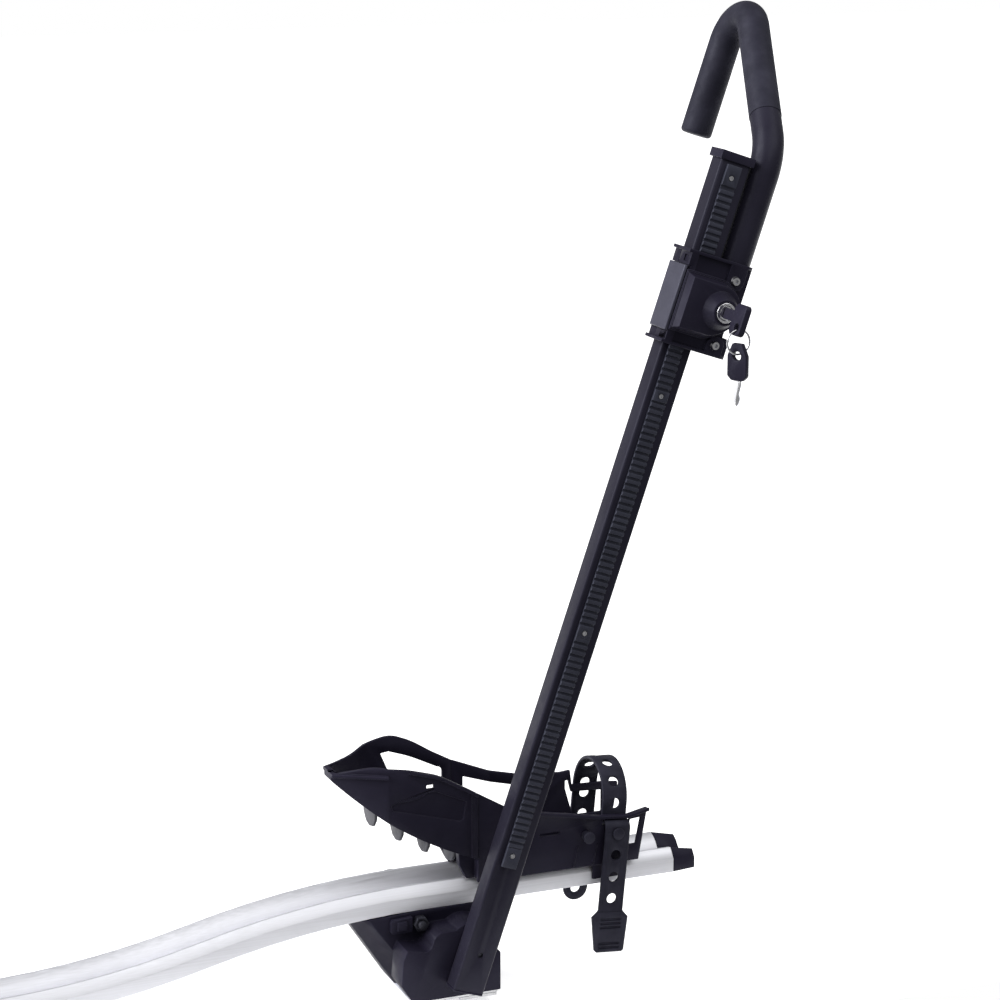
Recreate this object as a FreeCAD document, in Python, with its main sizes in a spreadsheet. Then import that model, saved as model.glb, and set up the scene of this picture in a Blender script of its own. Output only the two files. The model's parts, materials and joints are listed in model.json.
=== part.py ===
import FreeCAD, Part
import math
import os
import Sketcher
from FreeCAD import Placement, Rotation, Vector

# Roof bike carrier: two bent rails on a front foot and a sliding rear foot, a moulded cradle
# for the front wheel, and a folding mast with a rack on which a locking hook slides.
# +X points forward along the rails, +Y to the far side, +Z up. The origin is the middle of
# the underside of the front foot, where it stands on the roof bar. All sizes are in mm.

doc = FreeCAD.newDocument("roof_bike_carrier")


class Size:
    """A number of the sheet, or a formula on such numbers, with the text the document keeps."""

    def __init__(self, value, text):
        self.value = value
        self.text = text

    def __float__(self):
        return float(self.value)

    def __add__(self, other):
        other = as_size(other)
        return Size(self.value + other.value, f"({self.text} + {other.text})")

    def __sub__(self, other):
        other = as_size(other)
        return Size(self.value - other.value, f"({self.text} - {other.text})")

    def __mul__(self, other):
        other = as_size(other)
        return Size(self.value * other.value, f"({self.text} * {other.text})")

    def __truediv__(self, other):
        other = as_size(other)
        return Size(self.value / other.value, f"({self.text} / {other.text})")

    def __neg__(self):
        return Size(-self.value, f"(0 - {self.text})")

    def __radd__(self, other):
        return as_size(other) + self

    def __rsub__(self, other):
        return as_size(other) - self

    def __rmul__(self, other):
        return as_size(other) * self


def as_size(value):
    if isinstance(value, Size):
        return value
    return Size(value, f"({float(value)!r})")


def sine(angle):
    return Size(math.sin(math.radians(angle.value)), f"sin({angle.text} * 1 deg)")


def cosine(angle):
    return Size(math.cos(math.radians(angle.value)), f"cos({angle.text} * 1 deg)")


def tangent(angle):
    return sine(angle) / cosine(angle)


class Sheet:
    """The driving dimensions: every row is a cell with an alias, read back as a Size."""

    def __init__(self, rows):
        self.cells = doc.addObject("Spreadsheet::Sheet", "Sizes")
        for number, (alias, value, note) in enumerate(rows, start=1):
            self.cells.set(f"A{number}", alias)
            self.cells.set(f"B{number}", str(value))
            self.cells.set(f"C{number}", note)
            self.cells.setAlias(f"B{number}", alias)
            setattr(self, alias, Size(float(value), f"Sizes.{alias}"))


sizes = Sheet([
    ("slip", 0.3, "clearance between pieces that move past each other"),
    ("snug", 0.1, "clearance between pieces that are fixed to each other"),
    # Rails
    ("rail_long_front", 236, "front end of the aluminium, from the origin"),
    ("rail_bend_start", 20, "how far behind the origin the rails begin to bend down"),
    ("rail_bend_radius", 845, "radius of both bends, at the underside"),
    ("rail_bend_angle", 14, "turn of each bend"),
    ("rail_straight_back", 695, "straight run behind the bends"),
    ("rail_level", 83.3, "underside of the rails above the roof bar"),
    ("rail_outer", 30, "outer face of a rail from the middle plane"),
    ("rail_ridge", 23, "ridge of a rail from the middle plane"),
    ("rail_inner", 4, "inner face of a rail from the middle plane"),
    ("rail_tall", 22.6, "height of a rail to its ridge"),
    ("rail_side_tall", 13.2, "height of its plain outer wall"),
    ("rail_toe_tall", 3, "height of its inner wall below the rounded back"),
    ("rail_back_radius", 22, "radius of the rounded back of a rail"),
    ("rail_wall", 2, "wall of the extrusion"),
    ("rail_slot_wide", 7, "mouth of the bolt slot along the underside"),
    ("rail_slot_middle", 17, "middle of the bolt slot from the middle plane"),
    ("rail_cap_long", 24, "end cap of a rail beyond the aluminium"),
    ("rail_cap_taper", 0.8, "width of the cap's tip as a share of the rail"),
    # Mast
    ("mast_lean", 18.95, "lean of the mast towards the front, in degrees"),
    ("pivot_forward", 17.4, "mast pivot in front of the origin"),
    ("pivot_high", 52.5, "mast pivot above the roof bar"),
    ("mast_side", 72, "middle of the mast from the middle plane"),
    ("mast_wide", 30.5, "mast tube seen from the near side"),
    ("mast_deep", 20, "mast tube from near side to far side"),
    ("mast_wall", 2, "wall of the mast tube"),
    ("mast_corner", 2.5, "corner radius of the mast tube"),
    ("mast_below", 36, "mast tube below its pivot"),
    ("mast_above", 758, "mast tube above its pivot"),
    ("cap_rim", 2, "overhang of the mast's top cap"),
    ("cap_thick", 3, "thickness of the mast's top cap"),
    ("cap_skirt", 5, "skirt of the top cap"),
    ("plug_long", 12, "how far end plugs reach into a tube"),
    ("foot_thick", 2, "lip of the mast's bottom plug"),
    ("pin_radius", 4, "mast pivot pin"),
    ("bush_radius", 7, "bush of the mast pivot"),
    ("pin_sight_radius", 2.5, "sight hole over the end of the pivot pin"),
    ("rack_low", 86, "lower end of the rack above the pivot"),
    ("rack_high", 750, "upper end of the rack above the pivot"),
    ("rack_wide", 14.6, "width of the rack strip"),
    ("rack_shift", 1.5, "middle of the rack behind the middle of the mast"),
    ("rack_base", 1.4, "thickness of the rack strip between its teeth"),
    ("tooth_tall", 1.8, "height of a rack tooth"),
    ("tooth_pitch", 6, "pitch of the rack"),
    ("tooth_long", 4.1, "length of a tooth along the mast"),
    ("rack_pad_long", 10, "plain pad round each rack screw"),
    ("rack_end_pad", 19, "plain pad at each end of the rack"),
    ("rack_screw_inset", 11.5, "end screws from the ends of the rack"),
    ("rack_screw_low", 312, "lower middle screw above the pivot"),
    ("rack_screw_high", 536, "upper middle screw above the pivot"),
    ("rack_screw_radius", 2.6, "head of a rack screw"),
    ("rack_screw_tall", 1.1, "head height of a rack screw"),
    # Hook and its slider
    ("hook_forward", 34.2, "middle of the hook tube from the mast's middle"),
    ("hook_radius", 14.3, "painted hook tube"),
    ("hook_wall", 2, "wall of the hook tube"),
    ("grip_radius", 15, "rubber sleeve on the hook"),
    ("hook_foot", 622, "lower end of the hook tube above the pivot"),
    ("hook_elbow", 771.5, "elbow of the hook above the pivot"),
    ("hook_elbow_radius", 54.5, "bend radius of the elbow"),
    ("hook_lean", 44.4, "lean of the middle run of the hook, in degrees"),
    ("hook_top_radius", 26.8, "bend radius of the crook"),
    ("hook_reach", 153, "far leg of the hook from its near leg"),
    ("hook_tip", 772, "free end of the hook above the pivot"),
    ("grip_start", 20, "start of the sleeve above the elbow bend"),
    ("grip_cap", 3, "closed end of the sleeve"),
    ("slider_low", 583.3, "lower end of the slider above the pivot"),
    ("slider_tall", 86, "height of the slider"),
    ("slider_left", 20.4, "side of the slider towards the rear, from the mast's middle"),
    ("slider_back", 12, "back of the slider from the mast's middle"),
    ("slider_ear", 22, "front of the slider's ears and flanges from the mast's middle"),
    ("slider_neck", 19, "front of the slider between them from the mast's middle"),
    ("slider_corner", 38.3, "near front corner of the slider from the mast's middle"),
    ("waist_right", 36, "front of the slider's waist from the mast's middle"),
    ("slider_flange", 3, "flange at the top and bottom of the slider"),
    ("slider_flange_rim", 3, "overhang of those flanges"),
    ("socket_wall", 1.2, "wall round the hook tube's socket"),
    ("cover_front", 36, "front of the raised cover from the mast's middle"),
    ("cover_low", 596, "lower edge of the raised cover above the pivot"),
    ("cover_high", 651.5, "upper edge of the raised cover above the pivot"),
    ("cover_right", 37, "front shoulder of the raised cover from the mast's middle"),
    ("boss_front", 47, "face of the lock boss from the mast's middle"),
    ("boss_radius", 11.5, "face of the lock boss"),
    ("boss_foot_radius", 18, "foot of the lock boss"),
    ("lock_across", 16.5, "lock from the mast's middle, towards the front"),
    ("lock_height", 624.5, "lock above the pivot"),
    ("lock_radius", 9, "chrome barrel of the lock"),
    ("lock_core_radius", 6.5, "turning plug of the lock"),
    ("lock_deep", 19, "depth of the lock in its boss"),
    ("lock_proud", 1.2, "how far the chrome rim stands out"),
    ("key_thick", 2, "key blade"),
    ("key_wide", 7, "key blade"),
    ("key_neck_long", 17, "shoulder of the key in front of the lock"),
    ("key_head_long", 21, "head of the key in line with the blade"),
    ("key_head_wide", 28, "head of the key across the blade"),
    ("key_head_thick", 6, "head of the key"),
    ("key_eye_radius", 4, "hole for the ring"),
    ("ring_rest", 1, "wire of the ring from the middle of a key's hole"),
    ("spare_wide", 20, "head of the spare key"),
    ("spare_thick", 5, "head of the spare key"),
    ("spare_high", 11, "top of the spare key above its hole"),
    ("spare_low", 22, "bottom of the spare key's head below its hole"),
    ("spare_turn", 60, "turn of the hanging spare key, in degrees"),
    ("ring_radius", 11, "key ring, to the middle of its wire"),
    ("ring_wire_radius", 0.9, "wire of the key ring"),
    ("screw_across", 29, "slider screws from the mast's middle"),
    ("screw_low", 593.5, "lower slider screw above the pivot"),
    ("screw_high", 653.3, "upper slider screw above the pivot"),
    ("screw_head_radius", 4.3, "head of a slider screw"),
    ("screw_head_tall", 3, "head height of a slider screw"),
    ("screw_radius", 2.5, "shank of a slider screw"),
    ("lever_thick", 3, "release lever"),
    ("lever_gap", 2.6, "room behind the release lever"),
    ("lever_low", 594.3, "lower edge of the release lever above the pivot"),
    ("lever_high", 654.3, "upper edge of the release lever above the pivot"),
    ("lever_far", 10, "far edge of the release lever from the mast's middle"),
    ("lever_pin_radius", 1.0, "pin of the release lever"),
    ("lever_pin_height", 598, "pin of the release lever above the pivot"),
    ("pawl_wide", 10, "pawl across the rack"),
    ("pawl_tall", 30, "pawl along the rack"),
    ("pawl_long", 16, "pawl from its teeth to its back"),
    ("pawl_lift", 3, "travel that frees the pawl"),
    # Front foot
    ("foot_plate_thick", 3, "each of the two steel plates under the front foot"),
    ("foot_back_low", 41, "rear of the front foot at its underside, behind the origin"),
    ("foot_back_high", 90.7, "rear of the front foot under the rails, behind the origin"),
    ("foot_front_low", 46, "front of the front foot at its underside"),
    ("foot_front_high", 38, "front of the front foot under the rails"),
    ("foot_near_low", 10, "near side of the foot at its rear, before its chamfer"),
    ("foot_chamfer_low", 20, "front end of that chamfer at the underside, behind the origin"),
    ("foot_chamfer_high", 74.2, "front end of that chamfer under the rails, behind the origin"),
    ("foot_side_high", 31, "sides of the foot under the rails"),
    ("foot_far_low", 26, "far side of the foot at the underside"),
    ("boss_side", 60.3, "face of the mast boss from the middle plane"),
    ("boss_round", 24, "radius of the mast boss"),
    ("washer_radius", 12, "washer between the boss and the mast"),
    ("recess_floor", 31, "floor of the clamp recess from the middle plane"),
    ("clamp_back", 23.5, "clamp rod behind the origin"),
    ("clamp_high", 72.5, "clamp rod above the roof bar"),
    ("clamp_rod_radius", 4, "clamp rod"),
    ("nut_flats", 13, "nuts across their flats"),
    ("nut_tall", 8, "height of a nut"),
    ("knob_radius", 22, "clamp knob"),
    ("knob_long", 20, "clamp knob along its axis"),
    ("knob_gap", 1, "knob from the side of the foot"),
    ("bolt_side", 16.5, "bolts of the front foot from the middle plane"),
    ("bolt_radius", 4, "shank of a T-bolt"),
    ("bolt_head_long", 20, "head of a T-bolt along the slot of the roof bar"),
    ("bolt_head_wide", 10, "head of a T-bolt across that slot"),
    ("bolt_head_tall", 4, "head height of a T-bolt"),
    ("bolt_drop", 3, "head of a T-bolt below the top of the roof bar"),
    # Cradle for the front wheel
    ("wheel_radius", 370, "tyre that the cradle is shaped for"),
    ("wheel_forward", 168, "lowest point of the tyre in front of the origin"),
    ("wheel_low", 114, "lowest point of the tyre above the roof bar"),
    ("floor_gap", 3, "room between the tyre and the floor of the cradle"),
    ("floor_thick", 4.5, "floor of the cradle"),
    ("cradle_side", 36, "outer face of the cradle walls from the middle plane"),
    ("cradle_wall", 3.5, "walls of the cradle"),
    ("cradle_seam", 33, "seam between the wing and the front block"),
    ("cradle_front", 205, "front end of the cradle"),
    ("cradle_low", 104, "lower edge of the front block"),
    ("nose_back", 100, "nose of the wing behind the origin"),
    ("nose_half", 10, "half width of the nose"),
    ("nose_corner", 54, "where the wing begins to narrow, behind the origin"),
    ("rim_thick", 3.2, "rim along the top of the walls"),
    ("rim_out", 3, "how far the rim stands out"),
    ("rib_count", 4, "cross ribs under the wing"),
    ("rib_first", 59, "rearmost cross rib behind the origin"),
    ("rib_pitch", 25.7, "pitch of the cross ribs"),
    ("rib_thick", 3, "cross rib"),
    ("rib_half", 18, "half width of a cross rib"),
    ("rib_deep", 21.5, "depth of a cross rib below the floor"),
    ("pad_thick", 1.4, "grey wheel pad on the floor"),
    ("strap_forward", 167, "middle of the wheel strap in front of the origin"),
    ("strap_wide", 25, "wheel strap"),
    ("strap_thick", 3.2, "wheel strap"),
    ("strap_lean", 5.1, "lean of the wheel strap towards the front, in degrees"),
    ("strap_hole_radius", 5, "holes of the wheel strap"),
    ("strap_hole_pitch", 21.5, "pitch of those holes"),
    ("peg_high", 136, "strap pegs above the roof bar"),
    ("peg_radius", 4.5, "shank of a strap peg"),
    ("peg_head_radius", 5.7, "head of a strap peg"),
    # Rear foot
    ("rear_back", 660, "middle of the rear foot behind the origin"),
    ("rear_half_long", 45, "half length of the rear foot"),
    ("rear_half_wide", 64, "half width of the rear foot"),
    ("rear_flange_high", 16, "top of the wide flange of the rear foot"),
    ("rear_saddle_half", 24, "half width of its saddle under the rails"),
    ("rear_bolt_side", 52, "bolts of the rear foot from the middle plane"),
    ("rear_knob_radius", 15.5, "knob of the rear foot"),
    ("rear_knob_low", 24.3, "underside of that knob above the roof bar"),
    ("rear_knob_tall", 20, "height of that knob"),
    ("rail_bolt_spread", 25, "rail bolts of the rear foot from its middle"),
    ("rail_bolt_radius", 3, "shank of a bolt that hangs in a rail"),
    ("rail_bolt_head", 11, "square head of such a bolt"),
    ("rail_bolt_head_tall", 3, "head height of such a bolt"),
    # Holder for the rear wheel
    ("tray_back", 925, "middle of the rear wheel holder behind the origin"),
    ("tray_half_long", 55, "half length of the rear wheel holder"),
    ("tray_floor", 4, "floor of the rear wheel holder"),
    ("tray_wall", 3.7, "walls of the rear wheel holder"),
    ("tray_rise", 35, "walls above the floor of the rear wheel holder"),
    ("tray_skirt", 8, "outer walls of the rear wheel holder below the rails' shoulders"),
    ("hook_half_long", 18, "half length of the holder's hooks under the rails"),
    ("ladder_radius", 38, "ladder strap over the tyre, to its middle"),
    ("ladder_high", 88, "middle of the ladder strap's arc above the roof bar"),
    ("ladder_wide", 20, "ladder strap"),
    ("ladder_thick", 2, "ladder strap between its rungs"),
    ("ladder_rung", 1.2, "height of a rung of the ladder strap"),
    ("ladder_low", 66, "lower end of the ladder strap above the roof bar"),
    ("buckle_high", 76, "pin of the buckle above the roof bar"),
    ("buckle_side", 44, "pin of the buckle from the middle plane"),
    ("buckle_pin_radius", 1.5, "pin of the buckle"),
])

parts = []


def keep(piece):
    """Take a finished sub-part into the list of pieces that are written out."""
    parts.append(piece)
    return piece


def new_body(label):
    body = doc.addObject("PartDesign::Body", label)
    body.Label = label
    return keep(body)


def origin_plane(body, plane):
    return [item for item in body.Origin.OriginFeatures if item.Role == f"{plane}_Plane"][0]


def bind(sketch, kind, element, size, anchor=(-1, 1)):
    """Hold one coordinate or radius of a sketch to a size of the sheet."""
    if kind == "Radius":
        number = sketch.addConstraint(Sketcher.Constraint(kind, element[0], size.value))
    else:
        constraint = Sketcher.Constraint(kind, *anchor, *element, size.value)
        number = sketch.addConstraint(constraint)
    sketch.setExpression(f"Constraints[{number}]", size.text)


def draw_outline(sketch, points, closed=True):
    """Draw an outline. A point is (across, up) or (across, up, radius): a radius makes the next
    stretch an arc, which turns to the left when the radius is positive, to the right if not."""
    points = [tuple(as_size(value) for value in point) for point in points]
    ends = points[1:] + points[:1] if closed else points[1:]
    edges = []
    for here, following in zip(points, ends):
        start = Vector(here[0].value, here[1].value, 0)
        end = Vector(following[0].value, following[1].value, 0)
        if len(here) == 2:
            edges.append(Part.LineSegment(start, end))
            continue
        radius = here[2].value
        chord = end - start
        rise = abs(radius) - math.sqrt(max(radius ** 2 - chord.Length ** 2 / 4, 0))
        outward = Vector(chord.y, -chord.x, 0).normalize() * math.copysign(rise, radius)
        edges.append(Part.Arc(start, (start + end) / 2 + outward, end))
    first = sketch.GeometryCount
    sketch.addGeometry(edges, False)
    starts = []
    for number, point in enumerate(points[:len(edges)]):
        backwards = len(point) == 3 and point[2].value < 0
        starts.append((first + number, 2 if backwards else 1))
    joints = []
    for number, start in enumerate(starts):
        index, side = starts[number - 1]
        if closed or number:
            joints.append(Sketcher.Constraint("Coincident", index, 3 - side, *start))
    sketch.addConstraint(joints)
    if not closed:
        index, side = starts[-1]
        starts.append((index, 3 - side))
    for start, point in zip(starts, points):
        bind(sketch, "DistanceX", start, point[0])
        bind(sketch, "DistanceY", start, point[1])
        if len(point) == 3:
            radius = point[2] if point[2].value > 0 else -point[2]
            bind(sketch, "Radius", start, radius)


def draw_circle(sketch, across, up, radius):
    across, up, radius = as_size(across), as_size(up), as_size(radius)
    middle = Vector(across.value, up.value, 0)
    number = sketch.addGeometry(Part.Circle(middle, Vector(0, 0, 1), radius.value), False)
    bind(sketch, "DistanceX", (number, 3), across)
    bind(sketch, "DistanceY", (number, 3), up)
    bind(sketch, "Radius", (number,), radius)


def new_sketch(body, plane, outlines, height=0, closed=True):
    """A sketch on one of the body's own planes, lifted along +X, +Y or +Z by height."""
    sketch = body.newObject("Sketcher::SketchObject", f"{body.Label}_sketch")
    sketch.AttachmentSupport = [(origin_plane(body, plane), "")]
    sketch.MapMode = "FlatFace"
    lift = as_size(height)
    if plane == "XZ":
        lift = -lift
    sketch.setExpression("AttachmentOffset.Base.z", lift.text)
    for outline in outlines:
        if len(outline) == 3 and not isinstance(outline[0], tuple):
            draw_circle(sketch, *outline)
        else:
            draw_outline(sketch, outline, closed)
    return sketch


def slab(body, plane, outlines, low, high):
    """Add the outlines as a solid between two heights above a plane."""
    pad = body.newObject("PartDesign::Pad", f"{body.Label}_pad")
    pad.Profile = new_sketch(body, plane, outlines, low)
    pad.setExpression("Length", (high - as_size(low)).text)
    pad.Reversed = plane == "XZ"
    return pad


def cut(body, plane, outlines, low, high):
    """Cut the outlines out of the body between two heights above a plane."""
    pocket = body.newObject("PartDesign::Pocket", f"{body.Label}_cut")
    pocket.Profile = new_sketch(body, plane, outlines, low)
    pocket.setExpression("Length", (high - as_size(low)).text)
    pocket.Reversed = plane != "XZ"
    return pocket


def turned(body, plane, points):
    """Turn an outline round the upward axis of its sketch."""
    feature = body.newObject("PartDesign::Revolution", f"{body.Label}_turn")
    sketch = new_sketch(body, plane, [points])
    feature.Profile = sketch
    feature.ReferenceAxis = (sketch, ["V_Axis"])
    feature.Angle = 360
    return feature


def swept(body, profile, spine):
    """Carry a profile sketch along a path sketch."""
    pipe = body.newObject("PartDesign::AdditivePipe", f"{body.Label}_sweep")
    pipe.Profile = profile
    pipe.Spine = (spine, [])
    return pipe


def lofted(body, plane, sections):
    """Add a solid through two or more outlines, each with its height above the plane."""
    sketches = [new_sketch(body, plane, [outline], height) for outline, height in sections]
    loft = body.newObject("PartDesign::AdditiveLoft", f"{body.Label}_loft")
    loft.Profile = sketches[0]
    loft.Sections = sketches[1:]
    loft.Ruled = True
    return loft


def rounded(body, radius, chosen, kind="Fillet"):
    """Round or chamfer the edges of the body that the test picks."""
    doc.recompute()
    tip = body.Tip
    names = []
    for number, edge in enumerate(tip.Shape.Edges, start=1):
        if chosen(edge):
            names.append(f"Edge{number}")
    feature = body.newObject(f"PartDesign::{kind}", f"{body.Label}_{kind.lower()}")
    feature.Base = (tip, names)
    feature.setExpression("Radius" if kind == "Fillet" else "Size", as_size(radius).text)
    return feature


def box(low_x, high_x, low_y, high_y):
    """The outline of a rectangle."""
    return [(low_x, low_y), (high_x, low_y), (high_x, high_y), (low_x, high_y)]


def many_sided(across, up, radius, sides=16):
    """The outline of a small round hole or pin, drawn with flats."""
    points = []
    for number in range(sides):
        turn = as_size(360.0 / sides * (number + 0.5))
        points.append((as_size(across) + cosine(turn) * radius,
                       as_size(up) + sine(turn) * radius))
    return points


def post(base, radius, height, direction, sides=16):
    """A small many-sided pin that stands on a point."""
    corners = []
    for number in range(sides + 1):
        turn = 2 * math.pi / sides * (number + 0.5)
        corners.append(Vector(radius * math.cos(turn), radius * math.sin(turn), 0))
    pin = Part.Face(Part.makePolygon(corners)).extrude(Vector(0, 0, height))
    pin.Placement = Placement(base, Rotation(Vector(0, 0, 1), direction))
    return pin


def place(piece, x=0, y=0, z=0, turn=0, axis=Vector(0, 1, 0)):
    """Set a sub-part down in the carrier's frame, bound to the sheet."""
    x, y, z, turn = as_size(x), as_size(y), as_size(z), as_size(turn)
    rotation = Rotation(axis, turn.value)
    piece.Placement = Placement(Vector(x.value, y.value, z.value), rotation)
    if piece.isDerivedFrom("Part::Feature") and piece.TypeId == "Part::Feature":
        return piece
    piece.setExpression("Placement.Base.x", x.text)
    piece.setExpression("Placement.Base.y", y.text)
    piece.setExpression("Placement.Base.z", z.text)
    if turn.value:
        piece.setExpression("Placement.Rotation.Angle", turn.text)
    return piece


def place_on_mast(piece):
    """Mast pieces are drawn upright about the pivot, and lean forward as one."""
    x, y, z = sizes.pivot_forward, -sizes.mast_side, sizes.pivot_high
    return place(piece, x, y, z, sizes.mast_lean)


def solid_group(label, solids):
    """Identical small pieces that share one node, each its own solid."""
    piece = doc.addObject("Part::Feature", label)
    piece.Label = label
    piece.Shape = Part.makeCompound(solids)
    return keep(piece)


# Mast: a rectangular aluminium tube, painted black, that folds about a pin at its foot.

half_wide = sizes.mast_wide / 2
half_deep = sizes.mast_deep / 2
front_face = -half_deep


def mast_section(inset):
    """The rounded rectangle of the mast tube, smaller by an inset."""
    across = half_wide - inset
    deep = half_deep - inset
    round_at = sizes.mast_corner
    if float(inset):
        return box(-across, across, -deep, deep)
    return [
        (-across + round_at, -deep),
        (across - round_at, -deep, round_at),
        (across, -deep + round_at),
        (across, deep - round_at, round_at),
        (across - round_at, deep),
        (-across + round_at, deep, round_at),
        (-across, deep - round_at),
        (-across, -deep + round_at, round_at),
    ]


mast_tube = new_body("mast_tube")
slab(mast_tube, "XY", [mast_section(as_size(0)), mast_section(sizes.mast_wall)],
     -sizes.mast_below, sizes.mast_above)
bush_hole = sizes.bush_radius + sizes.snug
cut(mast_tube, "XZ", [(0, 0, bush_hole)], 0, sizes.mast_deep)
cut(mast_tube, "XZ", [many_sided(0, 0, sizes.pin_sight_radius)], -sizes.mast_deep, 0)
place_on_mast(mast_tube)

mast_bush = new_body("mast_bush")
slab(mast_bush, "XZ", [(0, 0, sizes.bush_radius), (0, 0, sizes.pin_radius + sizes.snug)],
     front_face + sizes.mast_wall + sizes.snug, half_deep)
place_on_mast(mast_bush)

# The top cap is one moulding: a lid, a skirt round the tube and a plug inside it.
mast_cap = new_body("mast_cap")
rim_wide = half_wide + sizes.cap_rim
rim_deep = half_deep + sizes.cap_rim
plug_wide = half_wide - sizes.mast_wall - sizes.snug
plug_deep = half_deep - sizes.mast_wall - sizes.snug
slab(mast_cap, "XY", [box(-rim_wide, rim_wide, -rim_deep, rim_deep)],
     sizes.mast_above - sizes.cap_skirt, sizes.mast_above + sizes.cap_thick)
sleeve_wide = half_wide + sizes.snug
sleeve_deep = half_deep + sizes.snug
cut(mast_cap, "XY", [box(-sleeve_wide, sleeve_wide, -sleeve_deep, sleeve_deep)],
    sizes.mast_above - sizes.cap_skirt, sizes.mast_above)
slab(mast_cap, "XY", [box(-plug_wide, plug_wide, -plug_deep, plug_deep)],
     sizes.mast_above - sizes.plug_long, sizes.mast_above)
place_on_mast(mast_cap)

mast_foot = new_body("mast_foot")
slab(mast_foot, "XY", [mast_section(as_size(0))],
     -sizes.mast_below - sizes.foot_thick, -sizes.mast_below)
slab(mast_foot, "XY", [box(-plug_wide, plug_wide, -plug_deep, plug_deep)],
     -sizes.mast_below, -sizes.mast_below + sizes.plug_long)
place_on_mast(mast_foot)

# The rack: saw teeth for the pawl along the near face, with plain pads at its four screws.
rack_strip = new_body("rack_strip")
half_rack = sizes.rack_wide / 2
rack_left = -half_rack - sizes.rack_shift
rack_right = half_rack - sizes.rack_shift
tooth_top = front_face - sizes.rack_base - sizes.tooth_tall
slab(rack_strip, "YZ", [[
    (front_face, sizes.rack_low),
    (front_face - sizes.rack_base, sizes.rack_low),
    (front_face - sizes.rack_base, sizes.rack_high),
    (front_face, sizes.rack_high),
]], rack_left, rack_right)
teeth_low = sizes.rack_low + sizes.rack_end_pad
teeth_span = sizes.rack_high - sizes.rack_end_pad - teeth_low - sizes.tooth_long
tooth = slab(rack_strip, "YZ", [[
    (front_face - sizes.rack_base, teeth_low),
    (tooth_top, teeth_low + sizes.tooth_tall * 0.4),
    (tooth_top, teeth_low + sizes.tooth_long - sizes.tooth_tall * 0.1),
    (front_face - sizes.rack_base, teeth_low + sizes.tooth_long),
]], rack_left, rack_right)
teeth = rack_strip.newObject("PartDesign::LinearPattern", "rack_teeth")
teeth.Originals = [tooth]
teeth.Direction = (tooth.Profile[0], ["V_Axis"])
teeth_count = int(teeth_span.value // sizes.tooth_pitch.value) + 1
teeth.Occurrences = teeth_count
teeth.setExpression("Length", (sizes.tooth_pitch * (teeth_count - 1)).text)
rack_strip.Tip = teeth
rack_screw_heights = [
    sizes.rack_low + sizes.rack_screw_inset,
    sizes.rack_screw_low,
    sizes.rack_screw_high,
    sizes.rack_high - sizes.rack_screw_inset,
]
half_pad = sizes.rack_pad_long / 2
slab(rack_strip, "XZ", [box(rack_left, rack_right, sizes.rack_low, teeth_low),
                        box(rack_left, rack_right, sizes.rack_screw_low - half_pad,
                            sizes.rack_screw_low + half_pad),
                        box(rack_left, rack_right, sizes.rack_screw_high - half_pad,
                            sizes.rack_screw_high + half_pad),
                        box(rack_left, rack_right, sizes.rack_high - sizes.rack_end_pad,
                            sizes.rack_high)],
     tooth_top, front_face - sizes.rack_base)
screw_seat = tooth_top + sizes.rack_screw_tall
cut(rack_strip, "XZ", [many_sided(-sizes.rack_shift, height,
                                  sizes.rack_screw_radius + sizes.snug)
                       for height in rack_screw_heights], tooth_top, screw_seat)
place_on_mast(rack_strip)

rack_screws = solid_group("rack_screws", [
    post(Vector(-sizes.rack_shift.value, screw_seat.value, height.value),
         sizes.rack_screw_radius.value, sizes.rack_screw_tall.value, Vector(0, -1, 0))
    for height in rack_screw_heights
])
place_on_mast(rack_screws)


# Hook: a bent tube with a rubber sleeve. It is drawn in the plane of its two legs, which lies
# in front of the mast; its lower end is held in the slider.

def hook_line(start_height, end_height, sleeve=False):
    """The middle line of the hook as an open outline, whole or only what the sleeve covers."""
    lean_sine = sine(sizes.hook_lean)
    lean_cosine = cosine(sizes.hook_lean)
    elbow_reach = sizes.hook_elbow_radius * tangent(sizes.hook_lean / 2)
    crook_reach = sizes.hook_top_radius / tangent(sizes.hook_lean / 2)
    corner_height = sizes.hook_elbow + sizes.hook_reach * lean_cosine / lean_sine
    crook = [
        (sizes.hook_reach - crook_reach * lean_sine,
         corner_height - crook_reach * lean_cosine, -sizes.hook_top_radius),
        (sizes.hook_reach, corner_height - crook_reach),
        (sizes.hook_reach, end_height),
    ]
    if sleeve:
        along_run = elbow_reach + sizes.grip_start
        return [(along_run * lean_sine, sizes.hook_elbow + along_run * lean_cosine)] + crook
    return [
        (as_size(0), start_height),
        (as_size(0), sizes.hook_elbow - elbow_reach, -sizes.hook_elbow_radius),
        (elbow_reach * lean_sine, sizes.hook_elbow + elbow_reach * lean_cosine),
    ] + crook


hook_sides = 20
bore_sides = 8
hook_tube = new_body("hook_tube")
tube_line = new_sketch(hook_tube, "YZ", [hook_line(sizes.hook_foot, sizes.hook_tip)],
                       sizes.hook_forward, closed=False)
tube_ring = new_sketch(hook_tube, "XY", [
    many_sided(sizes.hook_forward, 0, sizes.hook_radius, hook_sides),
    many_sided(sizes.hook_forward, 0, sizes.hook_radius - sizes.hook_wall, bore_sides),
], sizes.hook_foot)
swept(hook_tube, tube_ring, tube_line)
cut(hook_tube, "XZ", [many_sided(sizes.screw_across, sizes.screw_high,
                                 sizes.screw_radius + sizes.snug)],
    -sizes.mast_deep, sizes.mast_deep)
place_on_mast(hook_tube)

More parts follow.
